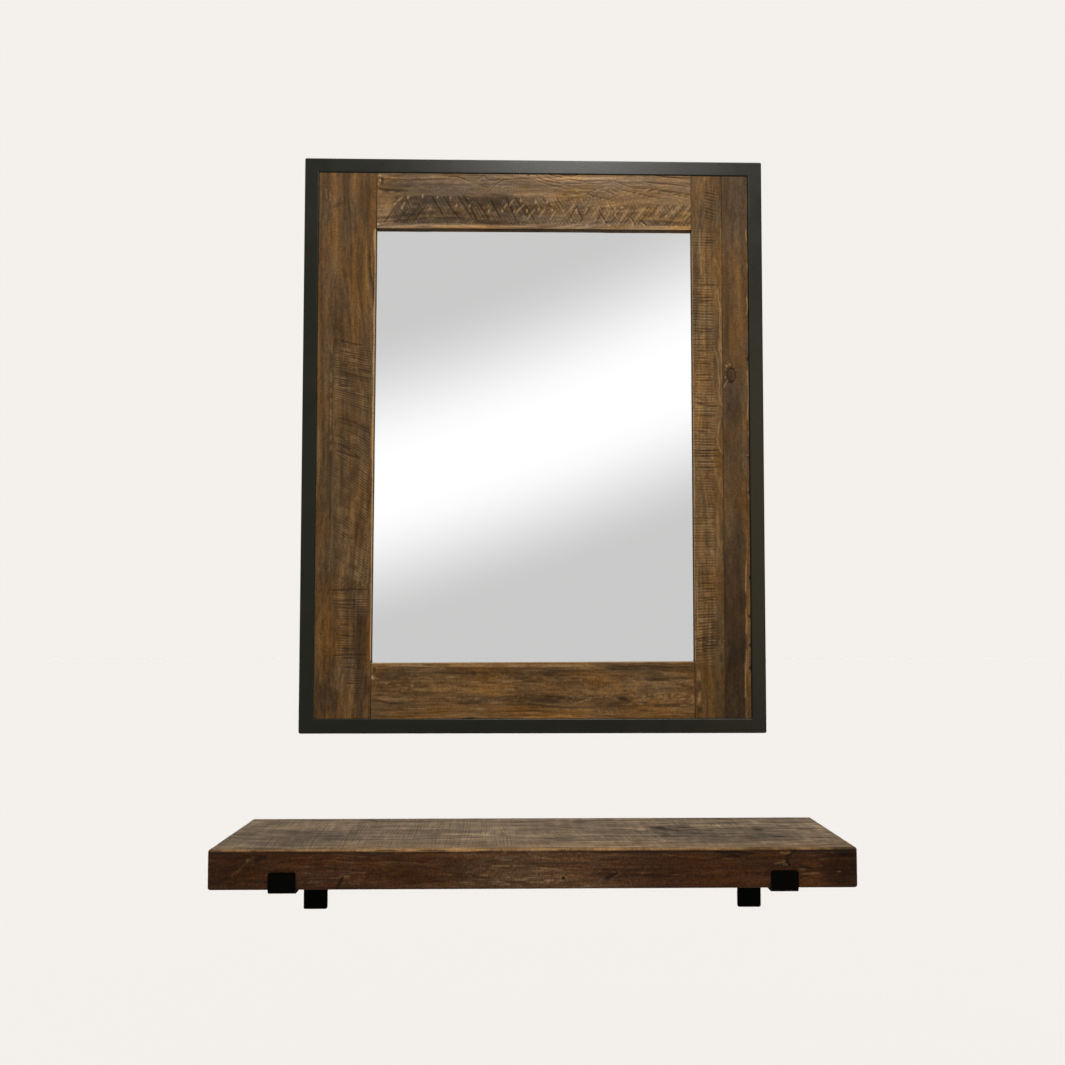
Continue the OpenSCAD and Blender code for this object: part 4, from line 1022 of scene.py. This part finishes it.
def coated(name, dark, light, roughness, spread, mottle=30.0, grain=900.0, bump=0.25, **surface):
    """A coated or moulded surface whose colour and gloss vary softly."""
    made, tree, shader = material(name, **surface)
    speckle = placed(tree, SPECKLE, {"Mottle size": mottle, "Grain size": grain})
    rough = maths(tree, "ADD", roughness, maths(tree, "MULTIPLY", speckle["Mottle"], spread))
    colour = mixed(tree, speckle["Mottle"], dark, light)
    feed(tree, shader, colour, rough, speckle["Height"], strength=bump, distance=0.0003)
    return made


def finish_nodes(finish, *names):
    """Gives the solids of these nodes a finish, on the objects and not on their meshes."""
    for name in names:
        for material_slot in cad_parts[name].material_slots:
            material_slot.link = "OBJECT"
            material_slot.material = finish


# ---------------------------------------------------------------- the boards

boards = {
    "left": facing_board("left_stile", "z", left_stile, lean=(0.7, 4.2), stopped=True, pith=(62, 40), seed=11,
                         inner_wear=(3.6, 0.6, 1.0), outer_wear=(0.8, 0.4, 0.2)),
    "inner": facing_board("right_stile_inner_board", "z", right_inner_board, lean=(1.6, 3.2), stopped=True,
                          pith=(70, 70), seed=12, inner_wear=(2.4, 0.5, 0.8), outer_wear=(0.8, 0.5, 0.35)),
    "outer": facing_board("right_stile_outer_board", "z", right_outer_board, rebated=False, pith=(15, 50), seed=13,
                          inner_wear=(0.9, 0.4, 0.15), outer_wear=(0.5, 0.3, 0.0)),
    "top": facing_board("top_rail", "x", top_rail, lean=(2.2, 0.6), pith=(58, 34), seed=14, ends=(4.35, 3.3),
                        inner_wear=(1.2, 0.5, 0.5), outer_wear=(0.6, 0.3, 0.0)),
    "bottom": facing_board("bottom_rail", "x", bottom_rail, lean=(-1.0, 1.8), pith=(30, 60), seed=15, ends=(1.2, 2.0),
                           inner_wear=(2.0, 0.8, 0.9), outer_wear=(0.6, 0.3, 0.0), painted_side_shade=0.25),
}
finishes = {
    "left": timber("Old pine, left stile", stain=(0.062, 0.030, 0.0075, 1), light=(0.195, 0.103, 0.030, 1),
                   dark=(0.024, 0.012, 0.004, 1)),
    "inner": timber("Old pine, right stile", stain=(0.1, 0.049, 0.012, 1), light=(0.262, 0.143, 0.042, 1),
                    dark=(0.036, 0.018, 0.006, 1)),
    "outer": timber("Dark pine, right stile", stain=(0.060, 0.030, 0.009, 1), light=(0.152, 0.083, 0.028, 1),
                    dark=(0.027, 0.014, 0.005, 1), rings=0.35),
    "top": timber("Old pine, top rail", stain=(0.138, 0.078, 0.028, 1), light=(0.37, 0.225, 0.095, 1),
                  dark=(0.042, 0.023, 0.009, 1), rings=0.6, bare_and_highlight=(0.47, 0.3, 0.145, 1)),
    "bottom": timber("Old pine, bottom rail", stain=(0.075, 0.036, 0.009, 1), light=(0.215, 0.111, 0.031, 1),
                     dark=(0.028, 0.013, 0.004, 1)),
}
for key, board in boards.items():
    board.data.materials.append(finishes[key])

shelf = shelf_timber()
shelf.data.materials.append(
    timber("Dark pine, shelf", stain=(0.029, 0.0100, 0.0028, 1), light=(0.062, 0.0240, 0.0072, 1),
           dark=(0.014, 0.0055, 0.002, 1), bare_and_highlight=(0.40, 0.225, 0.085, 1), rings=0.35, roughness=0.5,
           weather_and_sheen=(0.182, 0.128, 0.073, 1), gloss=0.05, speckle=1.3)
)


def foam_pad():
    """The foam between the glass and the backing board, flat on both sides and slightly rounded at its edges."""
    low, high = (np.array(corner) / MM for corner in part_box("foam_sheet"))
    soft = 0.5
    points = rounded([(low[0], low[1], soft), (low[0], high[1], soft), (high[0], high[1], soft),
                      (high[0], low[1], soft)], [2, 24, 2, 24])[0]
    heights = [low[2] + SHALLOWEST, *np.linspace(low[2] + soft, high[2] - soft, 30), high[2] - SHALLOWEST]
    rings = np.array([[(x, y, z) for x, y in points] for z in heights])
    pad = loft("foam_pad", rings * MM, {})
    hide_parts("foam_sheet")
    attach(pad, "root")
    return pad


foam_pad().data.materials.append(
    coated("Foam", (0.6, 0.6, 0.58, 1), (0.75, 0.75, 0.72, 1), 0.9, 0.05, mottle=500.0, grain=900.0, bump=0.6))

# ---------------------------------------------------------------- finishes of the solids

nodes = list(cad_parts)
finish_nodes(
    coated("Black steel", (0.0060, 0.0062, 0.0014, 1), (0.0086, 0.0088, 0.0032, 1), 0.265, 0.05,
           mottle=24.0, grain=700.0, bump=0.2, Specular_IOR_Level=0.2),
    *[name for name in nodes if name.startswith("steel_tube")], "fixing_tabs")
finish_nodes(
    coated("Bracket steel", (0.0006, 0.0006, 0.0003, 1), (0.0014, 0.0013, 0.0009, 1), 0.6, 0.15,
           mottle=40.0, grain=1200.0, bump=0.3, Specular_IOR_Level=0.02),
    "shelf_bracket_left", "shelf_bracket_right")
finish_nodes(
    coated("Zinc plate", (0.42, 0.42, 0.4, 1), (0.62, 0.62, 0.6, 1), 0.28, 0.2, mottle=180.0, grain=2500.0,
           bump=0.15, Metallic=1.0),
    "fixing_screws", "turn_button_screws", "hanger_screws", "shelf_screws",
    *[name for name in nodes if name.startswith("turn_button_") and not name.endswith("screws")],
    "hanger_strap_left", "hanger_strap_right", "hanger_ring_left", "hanger_ring_right")
finish_nodes(
    coated("Fibreboard", (0.16, 0.092, 0.045, 1), (0.25, 0.155, 0.08, 1), 0.62, 0.2, mottle=240.0, grain=1600.0,
           bump=0.4, Specular_IOR_Level=0.3),
    "backing_board")
finish_nodes(coated("Beech", (0.5, 0.32, 0.18, 1), (0.62, 0.42, 0.25, 1), 0.6, 0.1, mottle=120.0), "frame_dowels")
finish_nodes(coated("Black rubber", (0.012, 0.012, 0.012, 1), (0.02, 0.02, 0.02, 1), 0.7, 0.15, mottle=90.0,
                    grain=1500.0, bump=0.4), "wall_bumpers")
finish_nodes(material("Silvered glass", Metallic=1.0, Roughness=0.0, Base_Color=(0.98, 0.985, 0.98, 1))[0],
             "mirror_glass")

# ---------------------------------------------------------------- studio

PALE = (0.905, 0.871, 0.839, 1)  # the colour of the room, floor and backdrop alike
ROOM_GREY = (0.6, 0.598, 0.597, 1)  # what mirrors and gloss see of the room
LIGHT = (1.0, 0.985, 0.965)
SOFT_LIGHT, SUN = 0.62, 2.2
SUN_HEIGHT, SUN_AZIMUTH, SUN_SPREAD = math.radians(62), math.radians(18), math.radians(26)
REFLECTOR_WHITE = 1.02
REFLECTOR_WAY = (-0.340, -0.285, 1.0)  # the direction across the reflector
# along that direction: its middle, how far it is full white, and where it ends
REFLECTOR_MIDDLE, REFLECTOR_CORE, REFLECTOR_REACH = 0.428, 0.014, 0.126
FLOOR_Z, FLOOR_HALF = -1.15, 60.0


def studio_world():
    """Even soft light. Mirrors and gloss see a pale grey room with one broad white reflector slanting across it."""
    world = bpy.context.scene.world or bpy.data.worlds.new("Studio")
    bpy.context.scene.world = world
    world.use_nodes = True
    tree = world.node_tree
    tree.nodes.clear()
    path = add_node(tree, "LightPath").outputs
    way = add_node(tree, "TexCoord").outputs["Generated"]
    across = tuple(np.array(REFLECTOR_WAY) / math.hypot(*REFLECTOR_WAY))
    off = add_node(tree, "VectorMath", {0: way, 1: across}, operation="DOT_PRODUCT").outputs["Value"]
    off = maths(tree, "ABSOLUTE", maths(tree, "SUBTRACT", off, REFLECTOR_MIDDLE))
    glow = add_node(tree, "MapRange", {"Value": off, "From Min": REFLECTOR_CORE, "From Max": REFLECTOR_REACH,
                                       "To Min": 1.0, "To Max": 0.0}, interpolation_type="SMOOTHSTEP").outputs[0]
    room = mixed(tree, glow, ROOM_GREY, (REFLECTOR_WHITE,) * 3 + (1,))
    shown = mixed(tree, path["Is Camera Ray"], room, PALE)
    lights = add_node(tree, "Background", {"Color": (*LIGHT, 1), "Strength": SOFT_LIGHT})
    seen = add_node(tree, "Background", {"Color": shown, "Strength": 1.0})
    either = maths(tree, "MAXIMUM", path["Is Camera Ray"], path["Is Glossy Ray"])
    both = add_node(tree, "MixShader", {0: either, 1: lights.outputs[0], 2: seen.outputs[0]})
    add_node(tree, "OutputWorld", {"Surface": both.outputs[0]})


def lamp(name, kind, energy, colour, turn, place=(0, 0, 0)):
    made = bpy.data.objects.new(name, bpy.data.lights.new(name, kind))
    made.data.energy, made.data.color = energy, colour
    made.rotation_euler, made.location = turn, place
    bpy.context.collection.objects.link(made)
    return made


studio_world()
sun = lamp("Key", "SUN", SUN, LIGHT, (math.pi / 2 - SUN_HEIGHT, 0, SUN_AZIMUTH))
sun.data.angle = SUN_SPREAD
# lamps that are seen only as gloss on the steel
for name, place, tilt, size, energy, colour in (
    ("Sheen above", (0.205, -2.3, 2.75), 56, (0.62, 0.45), 53, (1.0, 0.955, 0.92)),
    ("Sheen right", (1.0, -2.3, 0.9), 90, (0.3, 1.5), 5, (1.0, 0.7, 0.35)),
):
    sheen = lamp(name, "AREA", energy, colour, (math.radians(tilt), 0, 0), place)
    sheen.data.shape, sheen.data.size, sheen.data.size_y = "RECTANGLE", *size
    sheen.visible_diffuse = False

floor_mesh = bpy.data.meshes.new("floor")
corners = [(x * FLOOR_HALF, y * FLOOR_HALF, FLOOR_Z) for x, y in ((-1, -1), (1, -1), (1, 1), (-1, 1))]
floor_mesh.from_pydata(corners, [], [(0, 1, 2, 3)])
floor = bpy.data.objects.new("floor", floor_mesh)
bpy.context.collection.objects.link(floor)
floor_light = SOFT_LIGHT + SUN * math.sin(SUN_HEIGHT) / math.pi  # the floor's colours are divided by what lights it
pale_floor, grey_floor = ((*(c / floor_light / warm for c, warm in zip(colour, LIGHT)), 1)
                          for colour in (PALE, ROOM_GREY))
floor_material, tree, shader = material("Floor", Roughness=1.0, Specular_IOR_Level=0.0)
seen_in_gloss = add_node(tree, "LightPath").outputs["Is Glossy Ray"]
tree.links.new(mixed(tree, seen_in_gloss, pale_floor, grey_floor), shader.inputs["Base Color"])
floor.data.materials.append(floor_material)

# ---------------------------------------------------------------- camera

PICTURE = 1065.0  # the photograph's side in pixels
FOCAL_PIXELS, AXIS_COLUMN, AXIS_ROW = 1022.1, 546.7, 583.6
CAMERA_PLACE = (-0.0136, -1.7844, 0.4158)
CAMERA_RISE, CAMERA_ROLL, CAMERA_PAN = math.radians(2.738), math.radians(-0.03), math.radians(-1.174)
camera = bpy.data.objects.new("Camera", bpy.data.cameras.new("Camera"))
camera.data.sensor_width = 36.0
camera.data.lens = FOCAL_PIXELS / PICTURE * camera.data.sensor_width
camera.data.shift_x = (PICTURE / 2 - AXIS_COLUMN) / PICTURE
camera.data.shift_y = (AXIS_ROW - PICTURE / 2) / PICTURE
camera.location = CAMERA_PLACE
camera.rotation_euler = (math.pi / 2 + CAMERA_RISE, CAMERA_ROLL, CAMERA_PAN)
camera.data.clip_end = 200
bpy.context.collection.objects.link(camera)
scene = bpy.context.scene
scene.camera = camera
scene.view_settings.view_transform = "Standard"
